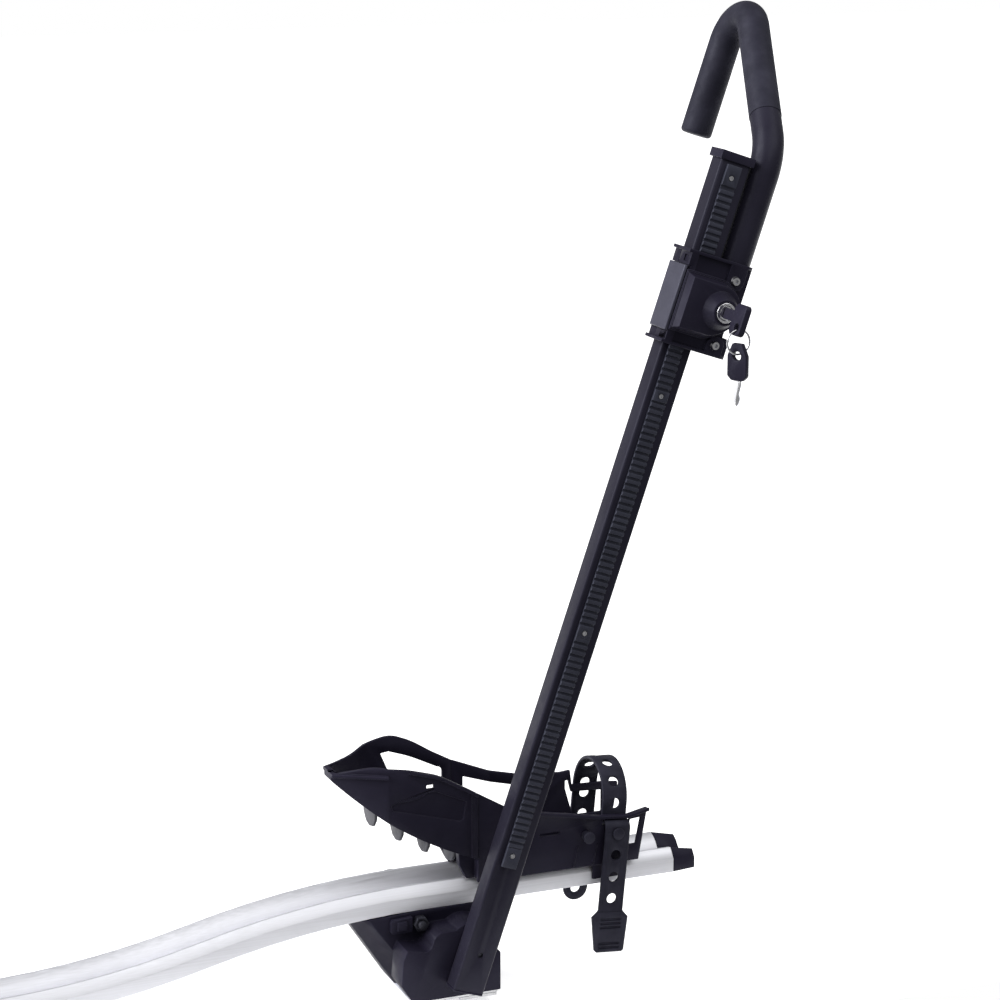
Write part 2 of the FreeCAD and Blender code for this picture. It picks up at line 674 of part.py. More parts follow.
hook_sleeve = new_body("hook_sleeve")
sleeve_end = sizes.hook_tip - sizes.snug
sleeve_line = new_sketch(hook_sleeve, "YZ", [hook_line(None, sleeve_end, sleeve=True)],
                         sizes.hook_forward, closed=False)
sleeve_ring = new_sketch(hook_sleeve, "XY", [
    many_sided(sizes.hook_forward, sizes.hook_reach, sizes.grip_radius, hook_sides),
    many_sided(sizes.hook_forward, sizes.hook_reach, sizes.hook_radius + sizes.snug, hook_sides),
], sleeve_end)
swept(hook_sleeve, sleeve_ring, sleeve_line)
tip_ring = many_sided(sizes.hook_forward, sizes.hook_reach, sizes.grip_radius, hook_sides)
tip_face = many_sided(sizes.hook_forward, sizes.hook_reach, sizes.grip_radius - sizes.grip_cap,
                      hook_sides)
lofted(hook_sleeve, "XY", [(tip_face, sleeve_end - sizes.grip_cap), (tip_ring, sleeve_end)])
place_on_mast(hook_sleeve)

# Slider: two moulded halves clamp the mast and the hook tube. The halves meet on the middle
# plane of the mast. The front half carries the lock, the pawl and the release lever.

slider_high = sizes.slider_low + sizes.slider_tall
slider_right = sizes.hook_forward + sizes.hook_radius + sizes.socket_wall
neck_low = sizes.slider_low + sizes.slider_flange
neck_high = slider_high - sizes.slider_flange
bore_wide = half_wide + sizes.slip
bore_deep = half_deep + sizes.slip
socket_radius = sizes.hook_radius + sizes.snug
wall_left = sizes.slider_left - sizes.lever_gap
lever_room_low = sizes.lever_low - sizes.slip
lever_room_high = sizes.lever_high + sizes.slip
lever_mid = -sizes.slider_left + sizes.lever_gap / 2
lug_half = 2.5
lug_pocket = wall_left - 1.1


def near_plan(left, near):
    """The near half from above: square at the lever, drawn in round the hook tube."""
    return [
        (-left, near),
        (sizes.slider_corner, near),
        (sizes.slider_corner + 5, -sizes.slider_neck),
        (slider_right - 0.5, -4),
        (slider_right, -split),
        (-left, -split),
    ]


def far_plan(left):
    """The far half from above: flat behind the mast, deeper behind the hook tube."""
    return [
        (-left, split),
        (slider_right, split),
        (slider_right, 8),
        (sizes.hook_forward + 9, socket_radius + sizes.socket_wall),
        (sizes.hook_forward - 9, socket_radius + sizes.socket_wall),
        (half_wide + 1, sizes.slider_back),
        (-left, sizes.slider_back),
    ]


def slider_cheeks(body, near, far):
    """The blocks above and below the lever, against which its ends rest."""
    for low, high in ((neck_low, lever_room_low), (lever_room_high, neck_high)):
        slab(body, "XY", [box(-sizes.slider_left, -wall_left, near, far)], low, high)


def slider_bores(body, near, far):
    """The way for the mast, the blind socket of the hook tube and the screw holes."""
    cut(body, "XY", [box(-bore_wide, bore_wide, -bore_deep, bore_deep)],
        sizes.slider_low, slider_high)
    cut(body, "XY", [(sizes.hook_forward, 0, socket_radius)],
        sizes.hook_foot - sizes.snug, slider_high)
    hole = sizes.screw_radius + sizes.snug
    cut(body, "XZ", [many_sided(sizes.screw_across, sizes.screw_low, hole),
                     many_sided(sizes.screw_across, sizes.screw_high, hole)], near, far)
    # Beside the foot of the hook tube the slider is waisted.
    cut(body, "XZ", [box(sizes.waist_right, slider_right + 1,
                         sizes.screw_low + 8, sizes.hook_foot - sizes.mast_wall * 2)], near, far)


def lug_room(body, near, far):
    """A groove in the wall behind the lever, for the lugs on its pin."""
    cut(body, "XZ", [box(-wall_left - 1, -lug_pocket,
                         sizes.lever_pin_height - lug_half - sizes.slip,
                         sizes.lever_pin_height + lug_half + sizes.slip)], near, far)


split = sizes.snug / 2
slider_back_half = new_body("slider_back")
slab(slider_back_half, "XY", [far_plan(wall_left)], neck_low, neck_high)
for low, high in ((sizes.slider_low, neck_low), (neck_high, slider_high)):
    slab(slider_back_half, "XY", [far_plan(sizes.slider_left + sizes.slider_flange_rim)],
         low, high)
slider_cheeks(slider_back_half, split, sizes.slider_back)
bearing_high = sizes.lever_pin_height + sizes.plug_long / 2
slab(slider_back_half, "XY", [box(-sizes.slider_left, -wall_left,
                                  sizes.slider_back - sizes.mast_wall, sizes.slider_back)],
     lever_room_low, bearing_high)
slider_bores(slider_back_half, split, sizes.slider_back + 8)
lug_room(slider_back_half, split, sizes.slider_back - sizes.mast_wall)
cut(slider_back_half, "XZ", [(lever_mid, sizes.lever_pin_height,
                              sizes.lever_pin_radius + sizes.snug)],
    sizes.slider_back - sizes.mast_wall - 1, sizes.slider_back)
place_on_mast(slider_back_half)

slider_front = new_body("slider_front")
slab(slider_front, "XY", [near_plan(wall_left, -sizes.slider_neck)], neck_low, neck_high)
for low, high in ((sizes.slider_low, neck_low), (neck_high, slider_high)):
    slab(slider_front, "XY",
         [near_plan(sizes.slider_left + sizes.slider_flange_rim, -sizes.slider_ear)], low, high)
slider_cheeks(slider_front, -sizes.slider_ear, -split)
slab(slider_front, "XY", [box(-sizes.slider_left, -wall_left,
                              -sizes.slider_ear, sizes.mast_wall - sizes.slider_ear)],
     lever_room_low, bearing_high)
slab(slider_front, "XZ", [box(-wall_left, 5 - wall_left, neck_low, neck_high)],
     -sizes.slider_ear, -sizes.slider_neck)
# Ears round the two screws, shaped like lobes of the flanges.
ear_left = sizes.screw_across - 8
ear_right = sizes.slider_corner
for root, tip, way in ((neck_high, sizes.screw_high - 9, 1), (neck_low, sizes.screw_low + 9, -1)):
    ear = [
        (ear_left, root),
        (ear_left, tip + 7 * way),
        (ear_left + 3, tip + 2 * way),
        (sizes.screw_across, tip),
        (ear_right - 2, tip + 2 * way),
        (ear_right, tip + 7 * way),
        (ear_right, root),
    ]
    slab(slider_front, "XZ", [ear], -sizes.slider_ear, 3 - sizes.slider_neck)
# The raised cover: a bead round its foot, then a face that narrows towards the lock.
cover_mid = (sizes.cover_low + sizes.cover_high) / 2


def cover_shape(inset, radius, left=sizes.slider_left):
    """The cover seen from the near side, drawn in by an inset."""
    low = sizes.cover_low + inset
    high = sizes.cover_high - inset
    right = sizes.cover_right - inset
    return [
        (-left + inset * 0.5, low),
        (sizes.lock_across - 4, low, radius),
        (right, cover_mid - 10),
        (right, cover_mid + 14, radius * 0.65),
        (sizes.lock_across + 1, high),
        (-left + inset * 0.5, high),
    ]


cover_foot = sizes.slider_ear + 2
cover_neck = cover_foot + 1.2
slab(slider_front, "XZ", [cover_shape(as_size(0), 38, wall_left)],
     -sizes.slider_ear, -sizes.slider_neck)
slab(slider_front, "XZ", [cover_shape(as_size(0), 38)], -cover_foot, -sizes.slider_ear)
slab(slider_front, "XZ", [cover_shape(as_size(1.6), 36)], -cover_neck, -cover_foot)
lofted(slider_front, "XZ", [(cover_shape(as_size(2.4), 36), -cover_neck),
                            (cover_shape(as_size(5), 32), -sizes.cover_front)])
lofted(slider_front, "XZ", [
    ((sizes.lock_across, sizes.lock_height, sizes.boss_foot_radius), 1 - sizes.cover_front),
    ((sizes.lock_across, sizes.lock_height, sizes.boss_radius), -sizes.boss_front),
])
slider_bores(slider_front, -sizes.slider_ear, -split)
lug_room(slider_front, sizes.mast_wall - sizes.slider_ear, -split)
rack_way = half_rack + sizes.slip
pawl_rest = tooth_top - sizes.slip
cut(slider_front, "XZ", [box(-rack_way - sizes.rack_shift, rack_way - sizes.rack_shift,
                             sizes.slider_low, slider_high)],
    pawl_rest, -half_deep)
half_pawl_wide = sizes.pawl_wide / 2 + sizes.slip
half_pawl_tall = sizes.pawl_tall / 2 + sizes.slip
chamber_end = pawl_rest - sizes.pawl_long - sizes.pawl_lift - sizes.slip
cut(slider_front, "XZ", [box(-half_pawl_wide - sizes.rack_shift,
                             half_pawl_wide - sizes.rack_shift,
                             sizes.lock_height - half_pawl_tall,
                             sizes.lock_height + half_pawl_tall)], chamber_end, pawl_rest)
cut(slider_front, "XZ", [(sizes.lock_across, sizes.lock_height, sizes.lock_radius + sizes.snug)],
    -sizes.boss_front, sizes.lock_deep - sizes.boss_front)
cut(slider_front, "XZ", [(lever_mid, sizes.lever_pin_height,
                          sizes.lever_pin_radius + sizes.snug)],
    -sizes.slider_ear, sizes.mast_wall + 1 - sizes.slider_ear)
# Small pockets in the rear side, above and below the lever.
pocket_deep = 1.6
pocket_near = -sizes.slider_neck + 2
for pocket_mid in ((lever_room_high + neck_high) / 2, (neck_low + lever_room_low) / 2):
    cut(slider_front, "YZ", [box(pocket_near, pocket_near + 8, pocket_mid - 3, pocket_mid + 3)],
        -sizes.slider_left, pocket_deep - sizes.slider_left)
place_on_mast(slider_front)

slider_screws = solid_group("slider_screws", [
    post(Vector(sizes.screw_across.value, -sizes.slider_ear.value, height.value),
         sizes.screw_head_radius.value, sizes.screw_head_tall.value, Vector(0, -1, 0)).fuse(
        post(Vector(sizes.screw_across.value, -sizes.slider_ear.value, height.value),
             sizes.screw_radius.value, sizes.slider_ear.value + sizes.slider_back.value - 2,
             Vector(0, 1, 0)))
    for height in (sizes.screw_low, sizes.screw_high)
])
place_on_mast(slider_screws)


# Lock: a chrome barrel in the boss, and a plug that turns in it with the key.

lock_face = -sizes.boss_front - sizes.lock_proud
lock_back = sizes.lock_deep - sizes.boss_front - sizes.snug
lock_at = (sizes.lock_across, sizes.lock_height)

lock_barrel = new_body("lock_barrel")
slab(lock_barrel, "XZ", [(*lock_at, sizes.lock_radius),
                         (*lock_at, sizes.lock_core_radius + sizes.snug)],
     lock_face, lock_back - sizes.mast_wall)
slab(lock_barrel, "XZ", [(*lock_at, sizes.lock_radius)], lock_back - sizes.mast_wall, lock_back)
place_on_mast(lock_barrel)

lock_plug = new_body("lock_plug")
plug_front = lock_face + 0.6
slab(lock_plug, "XZ", [(*lock_at, sizes.lock_core_radius)],
     plug_front, lock_back - sizes.mast_wall - sizes.snug)
half_key = sizes.key_wide / 2
half_blade = sizes.key_thick / 2
key_slot_end = lock_back - sizes.mast_wall - 2
cut(lock_plug, "XZ", [box(sizes.lock_across - half_blade - sizes.snug,
                          sizes.lock_across + half_blade + sizes.snug,
                          sizes.lock_height - half_key - sizes.snug,
                          sizes.lock_height + half_key + sizes.snug)],
    plug_front, key_slot_end)
place_on_mast(lock_plug)

# A key is a flat steel blade in a moulded head. The head is drawn edge on to the near side.


def key_outline(tip, shoulder, eye_end):
    """Head of a key from the shoulder outwards, with a rounded eye end."""
    middle = sizes.lock_height - 2
    half_head = sizes.key_head_wide / 2
    soft = 4
    return [
        (shoulder, middle - half_head + soft),
        (shoulder - soft, middle - half_head),
        (eye_end + soft, middle - half_head, -soft - 1),
        (eye_end, middle - half_head + soft),
        (eye_end, middle + half_head - soft, -soft - 1),
        (eye_end + soft, middle + half_head),
        (shoulder - soft, middle + half_head),
        (shoulder, middle + half_head - soft),
        (shoulder, sizes.lock_height + half_key + 1.5),
        (tip, sizes.lock_height + half_key + 1.5),
        (tip, sizes.lock_height - half_key - 1.5),
        (shoulder, sizes.lock_height - half_key - 1.5),
    ]


key_collar = plug_front - 0.5
key_shoulder = key_collar - sizes.key_neck_long
key_end = key_shoulder - sizes.key_head_long
key_eye = (key_end + sizes.key_eye_radius + 4, sizes.lock_height - 2 - sizes.key_head_wide / 2 + 7)

key_head = new_body("key_head")
half_head_thick = sizes.key_head_thick / 2
slab(key_head, "YZ", [key_outline(key_collar, key_shoulder, key_end),
                      (*key_eye, sizes.key_eye_radius)],
     sizes.lock_across - half_head_thick, sizes.lock_across + half_head_thick)
cut(key_head, "YZ", [box(key_shoulder - 6, key_collar + 1,
                         sizes.lock_height - half_key - sizes.snug,
                         sizes.lock_height + half_key + sizes.snug)],
    sizes.lock_across - half_blade - sizes.snug, sizes.lock_across + half_blade + sizes.snug)
place_on_mast(key_head)


def blade_outline(root, tip):
    """A key blade with its cuts along one edge."""
    low = sizes.lock_height - half_key
    high = sizes.lock_height + half_key
    bits = []
    step = (tip - root) / 8
    for number, depth in enumerate((0.8, 1.8, 1.2, 2.0, 1.0), start=2):
        bits.append((root + step * number, high - depth))
    return [(root, low), (tip - 2, low), (tip, sizes.lock_height), *reversed(bits), (root, high)]


key_blade = new_body("key_blade")
blade_root = key_shoulder - 5
slab(key_blade, "YZ", [blade_outline(blade_root, key_slot_end - 0.5)],
     sizes.lock_across - half_blade, sizes.lock_across + half_blade)
place_on_mast(key_blade)

# The ring hangs from the eye of the key, and the spare key hangs from the ring.
lean = math.radians(sizes.mast_lean.value)


def on_mast(across, deep, up):
    """A point of the mast's own drawing, in the carrier's frame."""
    return Vector(
        sizes.pivot_forward.value + across * math.cos(lean) + up * math.sin(lean),
        deep - sizes.mast_side.value,
        sizes.pivot_high.value - across * math.sin(lean) + up * math.cos(lean),
    )


eye_point = on_mast(sizes.lock_across.value, key_eye[0].value, key_eye[1].value)
eye_rest = sizes.ring_rest.value
ring_middle = eye_point - Vector(0, 0, sizes.ring_radius.value + eye_rest)
wire_half = sizes.ring_wire_radius
key_ring = new_body("key_ring")
turned(key_ring, "XZ", many_sided(sizes.ring_radius, 0, wire_half, 6))
place(key_ring, ring_middle.x, ring_middle.y, ring_middle.z, 90, Vector(1, 0, 0))

spare_eye = ring_middle - Vector(0, 0, sizes.ring_radius.value + eye_rest)
half_spare = sizes.spare_wide / 2
spare_low = sizes.spare_low
spare_corner = 4
spare_head_shape = [
    (spare_corner - half_spare, -spare_low),
    (half_spare - spare_corner, -spare_low),
    (half_spare, spare_corner - spare_low),
    (half_spare, 0),
    (half_spare - 5, sizes.spare_high),
    (5 - half_spare, sizes.spare_high),
    (-half_spare, 0),
    (-half_spare, spare_corner - spare_low),
]
half_spare_thick = sizes.spare_thick / 2
spare_turn = -sizes.spare_turn.value
spare_head = new_body("spare_key_head")
slab(spare_head, "XZ", [spare_head_shape, (0, 0, sizes.key_eye_radius)],
     -half_spare_thick, half_spare_thick)
blade_slot = half_key + sizes.snug
cut(spare_head, "XY", [box(-blade_slot, blade_slot, -half_blade - sizes.snug,
                           half_blade + sizes.snug)], -spare_low - 1, 7 - spare_low)
place(spare_head, spare_eye.x, spare_eye.y, spare_eye.z, spare_turn, Vector(0, 0, 1))
spare_blade = new_body("spare_key_blade")
slab(spare_blade, "XZ", [[
    (-half_key, 6 - spare_low),
    (-half_key, -spare_low - 20),
    (0, -spare_low - 23),
    (half_key - 1.6, -spare_low - 20),
    (half_key - 0.8, -spare_low - 16),
    (half_key - 2.0, -spare_low - 12),
    (half_key - 1.0, -spare_low - 8),
    (half_key, -spare_low - 4),
    (half_key, 6 - spare_low),
]], -half_blade, half_blade)
place(spare_blade, spare_eye.x, spare_eye.y, spare_eye.z, spare_turn, Vector(0, 0, 1))

# Release lever: a tall panel on the rear side of the slider, hinged near its lower end. Pressed
# in at the top, it lifts the pawl off the rack.

lever_back = -sizes.slider_left - sizes.slip
lever_face = lever_back - sizes.lever_thick
release_lever = new_body("release_lever")
lever_near = sizes.slip - sizes.slider_ear
slab(release_lever, "YZ", [box(lever_near, sizes.lever_far, sizes.lever_low, sizes.lever_high)],
     lever_face, lever_back)
lug_near = sizes.mast_wall - sizes.slider_ear + sizes.slip
lug_far = sizes.slider_back - sizes.mast_wall - sizes.slip
slab(release_lever, "XZ", [box(lever_back - 0.5, -lug_pocket - sizes.slip,
                               sizes.lever_pin_height - lug_half,
                               sizes.lever_pin_height + lug_half)], lug_near, lug_far)
cut(release_lever, "XZ", [(lever_mid, sizes.lever_pin_height,
                           sizes.lever_pin_radius + sizes.snug)], lug_near - 1, lug_far + 1)
rounded(release_lever, 1.2, lambda edge: edge.BoundBox.XMax < lever_face.value + 0.01)
place_on_mast(release_lever)

lever_pin = new_body("lever_pin")
slab(lever_pin, "XZ", [(lever_mid, sizes.lever_pin_height, sizes.lever_pin_radius)],
     sizes.snug - sizes.slider_ear, sizes.slider_back - sizes.snug)
place_on_mast(lever_pin)

pawl = new_body("pawl")
pawl_teeth = 4
pawl_tip = pawl_rest - sizes.slip
pawl_back = pawl_rest - sizes.pawl_long
half_pawl = sizes.pawl_wide / 2
pawl_low = sizes.lock_height - sizes.pawl_tall / 2
pawl_high = sizes.lock_height + sizes.pawl_tall / 2
pawl_left = -half_pawl - sizes.rack_shift
pawl_right = half_pawl - sizes.rack_shift
slab(pawl, "YZ", [box(pawl_back, pawl_tip - sizes.tooth_tall, pawl_low, pawl_high)],
     pawl_left, pawl_right)
pawl_first = sizes.lock_height - sizes.tooth_pitch * (pawl_teeth / 2)
pawl_tooth = slab(pawl, "YZ", [[
    (pawl_tip - sizes.tooth_tall, pawl_first),
    (pawl_tip, pawl_first),
    (pawl_tip, pawl_first + 1),
    (pawl_tip - sizes.tooth_tall, pawl_first + 2.4),
]], pawl_left, pawl_right)
pawl_row = pawl.newObject("PartDesign::LinearPattern", "pawl_teeth")
pawl_row.Originals = [pawl_tooth]
pawl_row.Direction = (pawl_tooth.Profile[0], ["V_Axis"])
pawl_row.Occurrences = pawl_teeth
pawl_row.setExpression("Length", (sizes.tooth_pitch * (pawl_teeth - 1)).text)
pawl.Tip = pawl_row
place_on_mast(pawl)


# Rails: two mirrored aluminium extrusions with a bolt slot along the underside. From the front
# they run level, then bend down and back to level, so that the rear foot stands lower.

bend_sine = sine(sizes.rail_bend_angle)
bend_drop = sizes.rail_bend_radius * (1 - cosine(sizes.rail_bend_angle))
bend_long = sizes.rail_bend_radius * bend_sine
rail_bend_end = -sizes.rail_bend_start - bend_long * 2
rail_back_end = rail_bend_end - sizes.rail_straight_back
rail_low_level = sizes.rail_level - bend_drop * 2


def rail_line():
    """Underside of a rail in side view, from the front end to the rear end."""
    return [
        (sizes.rail_long_front, sizes.rail_level),
        (-sizes.rail_bend_start, sizes.rail_level, sizes.rail_bend_radius),
        (-sizes.rail_bend_start - bend_long, sizes.rail_level - bend_drop,
         -(sizes.rail_bend_radius)),
        (rail_bend_end, rail_low_level),
        (rail_back_end, rail_low_level),
    ]


def rail_section(side, level):
    """Open section of a rail. The outline is drawn for the far rail and mirrored by side."""
    wall = sizes.rail_wall
    half_slot = sizes.rail_slot_wide / 2
    slope_shift = wall * 0.35
    shape = [
        (sizes.rail_slot_middle - half_slot, 0),
        (sizes.rail_slot_middle - half_slot, wall),
        (sizes.rail_inner + wall, wall),
        (sizes.rail_inner + wall, sizes.rail_toe_tall, -(sizes.rail_back_radius - wall)),
        (sizes.rail_ridge - slope_shift, sizes.rail_tall - wall * 1.25),
        (sizes.rail_outer - wall, sizes.rail_side_tall - slope_shift),
        (sizes.rail_outer - wall, wall),
        (sizes.rail_slot_middle + half_slot, wall),
        (sizes.rail_slot_middle + half_slot, 0),
        (sizes.rail_outer, 0),
        (sizes.rail_outer, sizes.rail_side_tall),
        (sizes.rail_ridge, sizes.rail_tall, sizes.rail_back_radius),
        (sizes.rail_inner, sizes.rail_toe_tall),
        (sizes.rail_inner, 0),
    ]
    drawn = []
    for point in shape:
        across = as_size(point[0]) * side
        place_up = level + as_size(point[1])
        if len(point) == 3:
            drawn.append((across, place_up, as_size(point[2]) * side))
        else:
            drawn.append((across, place_up))
    return drawn


for label, side in (("near_rail", -1), ("far_rail", 1)):
    rail = new_body(label)
    path = new_sketch(rail, "XZ", [rail_line()], closed=False)
    section = new_sketch(rail, "YZ", [rail_section(side, sizes.rail_level)],
                         sizes.rail_long_front)
    swept(rail, section, path)


def cap_outline(side, level, shrink=0):
    """Closed outline of a rail, for its end caps; shrink draws the plug inside the wall."""
    inset = as_size(shrink)
    slope_shift = inset * 0.35
    shape = [
        (sizes.rail_outer - inset, inset),
        (sizes.rail_outer - inset, sizes.rail_side_tall - slope_shift),
        (sizes.rail_ridge - slope_shift, sizes.rail_tall - inset * 1.25),
        (sizes.rail_inner + 11.2 - slope_shift, sizes.rail_tall - 4.4 - inset * 1.25),
        (sizes.rail_inner + 4 + inset * 0.5, sizes.rail_toe_tall + 7.6 - inset),
        (sizes.rail_inner + inset, sizes.rail_toe_tall),
        (sizes.rail_inner + inset, inset),
    ]
    return [(point[0] * side, level + point[1]) for point in shape]


def end_cap(label, side, end, outward, level, low_share):
    """A moulded cap: a plug in the rail and a nose that tapers towards its tip."""
    cap = new_body(label)
    tip = end + sizes.rail_cap_long * outward
    root = end - sizes.plug_long * outward
    full = cap_outline(side, level)
    middle = (sizes.rail_inner + sizes.rail_ridge) / 2
    tapered = [
        (middle * side + (point[0] - middle * side) * sizes.rail_cap_taper,
         level + (point[1] - level) * low_share)
        for point in full
    ]
    lofted(cap, "YZ", [(full, end), (tapered, tip)])
    plug = cap_outline(side, level, sizes.rail_wall + sizes.snug)
    low, high = (root, end) if outward > 0 else (end, root)
    slab(cap, "YZ", [plug], low, high)
    return cap


for name, side in (("near", -1), ("far", 1)):
    end_cap(f"{name}_front_cap", side, sizes.rail_long_front, 1, sizes.rail_level, 0.78)
    end_cap(f"{name}_rear_cap", side, rail_back_end, -1, rail_low_level, 0.78)


# Front foot: a moulded housing that hangs under the rails, drawn in towards its underside, with
# a chamfer at its near rear corner. On the near side it swells out to a boss for the mast.

foot_low = sizes.foot_plate_thick * 2
foot_high = sizes.rail_level
saddle_back = foot_high - 3.8


def foot_plan(back, near, chamfer_end, front, far):
    """The foot seen from above, with its chamfered corner."""
    return [
        (-back, -near),
        (-chamfer_end, -sizes.foot_side_high),
        (front, -sizes.foot_side_high),
        (front, far),
        (-back, far),
    ]


front_foot = new_body("front_foot")
lofted(front_foot, "XY", [
    (foot_plan(sizes.foot_back_low, sizes.foot_near_low, sizes.foot_chamfer_low,
               sizes.foot_front_low, sizes.foot_far_low), foot_low),
    (foot_plan(sizes.foot_back_high, sizes.foot_near_low, sizes.foot_chamfer_high,
               sizes.foot_front_high, sizes.foot_side_high), foot_high),
])
# The bulge towards the mast has a lip that sweeps up to the boss.
bulge_top = 43
slab(front_foot, "XZ", [[
    (-sizes.foot_back_low + 1, foot_low),
    (sizes.foot_front_low, foot_low),
    (sizes.foot_front_low, bulge_top),
    (sizes.pivot_forward + 17, bulge_top + 12),
    (sizes.pivot_forward + 4, 71),
    (-10.6, 70.8, 14),
    (-19.4, 65.1),
    (-21, 59.5, -7),
    (-29, 54.4),
    (-45.5, 57.7),
    (-49.5, 48),
    (-51.5, 24),
]], -sizes.boss_side, -sizes.foot_side_high)
slab(front_foot, "XZ", [(sizes.pivot_forward, sizes.pivot_high, sizes.boss_round)],
     -sizes.boss_side, -sizes.foot_side_high)
# The top follows the bend of the rails: level under their straight run, then sloping back.
cut(front_foot, "XZ", [[
    (-sizes.foot_back_high - 5, saddle_back),
    (-sizes.rail_bend_start, foot_high),
    (-sizes.rail_bend_start, foot_high + 5),
    (-sizes.foot_back_high - 5, foot_high + 5),
]], -sizes.boss_side - 1, sizes.boss_side)
pin_hole = sizes.pin_radius + sizes.snug
pin_end = -sizes.foot_side_high + 8
cut(front_foot, "XZ", [many_sided(sizes.pivot_forward, sizes.pivot_high, pin_hole)],
    -sizes.boss_side, pin_end + 0.5)
rod_hole = sizes.clamp_rod_radius + sizes.snug
cut(front_foot, "XZ", [many_sided(-sizes.clamp_back, sizes.clamp_high, rod_hole)],
    -sizes.boss_side, sizes.boss_side)
bolt_hole = sizes.bolt_radius + sizes.snug
bolt_top = foot_low + 24
plate_holes = [many_sided(0, -sizes.bolt_side, bolt_hole),
               many_sided(0, sizes.bolt_side, bolt_hole)]
cut(front_foot, "XY", plate_holes, foot_low, bolt_top + sizes.snug)

upper_plate = new_body("upper_foot_plate")
slab(upper_plate, "XY", [[
    (-sizes.foot_back_low + 2, -sizes.boss_side + 14),
    (-sizes.foot_back_low + 14, 3 - sizes.boss_side),
    (sizes.foot_front_low - 2, 3 - sizes.boss_side),
    (sizes.foot_front_low - 2, sizes.foot_far_low),
    (-sizes.foot_back_low + 2, sizes.foot_far_low),
], *plate_holes], sizes.foot_plate_thick, foot_low)
# The lower plate is notched from both sides, so that it slips between the heads of the bolts.
lower_plate = new_body("lower_foot_plate")
notch_half = sizes.bolt_head_wide / 2 + 2
notch_side = sizes.bolt_side - sizes.bolt_head_long / 2 - 1
lower_back = 6 - sizes.foot_back_low
lower_front = sizes.foot_front_low - 3
lower_near = 3 - sizes.boss_side
lower_far = sizes.foot_far_low - 1
slab(lower_plate, "XY", [[
    (lower_back, lower_near + 12),
    (lower_back + 10, lower_near),
    (-notch_half, lower_near),
    (-notch_half, -notch_side),
    (notch_half, -notch_side),
    (notch_half, lower_near),
    (lower_front, lower_near),
    (lower_front, lower_far),
    (notch_half, lower_far),
    (notch_half, notch_side),
    (-notch_half, notch_side),
    (-notch_half, lower_far),
    (lower_back, lower_far),
]], 0, sizes.foot_plate_thick - sizes.snug)


def t_bolt(x, y, drop, top):
    """A T-bolt for the slot of a roof bar, which runs from side to side."""
    long_head = sizes.bolt_head_long.value
    wide_head = sizes.bolt_head_wide.value
    tall_head = sizes.bolt_head_tall.value
    head = Part.makeBox(wide_head, long_head, tall_head,
                        Vector(x - wide_head / 2, y - long_head / 2, -drop - tall_head))
    shank = post(Vector(x, y, -drop), sizes.bolt_radius.value, top + drop, Vector(0, 0, 1))
    return head.fuse(shank)


solid_group("front_t_bolts", [
    t_bolt(0, side * sizes.bolt_side.value, sizes.bolt_drop.value, bolt_top.value)
    for side in (-1, 1)
])

pivot_pin = new_body("pivot_pin")
slab(pivot_pin, "XZ", [(sizes.pivot_forward, sizes.pivot_high, sizes.pin_radius)],
     -sizes.mast_side + front_face + sizes.mast_wall + sizes.snug, pin_end)

pivot_washer = new_body("pivot_washer")
slab(pivot_washer, "XZ", [(sizes.pivot_forward, sizes.pivot_high, sizes.washer_radius),
                          (sizes.pivot_forward, sizes.pivot_high, pin_hole)],
     -sizes.mast_side + half_deep + sizes.slip / 2, -sizes.boss_side - sizes.snug / 2)


def hexagon(across, up, flats):
    """Corners of a nut, with flats above and below."""
    corner = flats / math.sqrt(3)
    return [
        (across + corner * math.cos(math.radians(angle)), up + corner * math.sin(math.radians(angle)))
        for angle in range(0, 360, 60)
    ]


clamp_nut = new_body("clamp_nut")
nut_at = (-sizes.clamp_back, sizes.clamp_high)
slab(clamp_nut, "XZ", [hexagon(*nut_at, sizes.nut_flats), many_sided(*nut_at, rod_hole)],
     -sizes.recess_floor - sizes.nut_tall, -sizes.recess_floor - sizes.snug)

clamp_block = new_body("clamp_block")
block_back = -sizes.clamp_back - 29
block_low = sizes.clamp_high - 7
block_high = sizes.clamp_high + 7.5
slab(clamp_block, "XZ", [[
    (block_back + 2, block_low),
    (block_back + 21, block_low),
    (block_back + 21, block_high),
    (block_back + 2, block_high - 1),
    (block_back, block_high - 3),
    (block_back, block_low + 2),
]], -sizes.recess_floor - 5, -sizes.recess_floor - sizes.snug)
slab(clamp_block, "XZ", [box(block_back + 6, block_back + 15, block_low + 3, block_high - 3)],
     -sizes.recess_floor - 7, -sizes.recess_floor - 5)

knob_near = sizes.foot_side_high + sizes.knob_gap
clamp_rod = new_body("clamp_rod")
slab(clamp_rod, "XZ", [(*nut_at, sizes.clamp_rod_radius)],
     -sizes.recess_floor - sizes.nut_tall - 4, knob_near)

# The knob is a round moulding with eight hollows for the fingers round its rim.
clamp_knob = new_body("clamp_knob")
slab(clamp_knob, "XZ", [(*nut_at, sizes.knob_radius)], knob_near, knob_near + sizes.knob_long)
hollows = 8
for number in range(hollows):
    angle = math.radians(360 / hollows * (number + 0.5))
    reach = sizes.knob_radius + 3.5
    cut(clamp_knob, "XZ", [many_sided(nut_at[0] + reach * math.cos(angle),
                                      nut_at[1] + reach * math.sin(angle), 5.5)],
        knob_near + 4, knob_near + sizes.knob_long)


# Cradle: two moulded halves that follow the front wheel. The wing rises behind the mast to a
# rounded nose; the block in front sits on the ridges of the rails and takes the strap.

wheel_middle = sizes.wheel_low + sizes.wheel_radius
floor_top = sizes.wheel_radius + sizes.floor_gap
floor_under = floor_top + sizes.floor_thick
wall_under = floor_under + 4


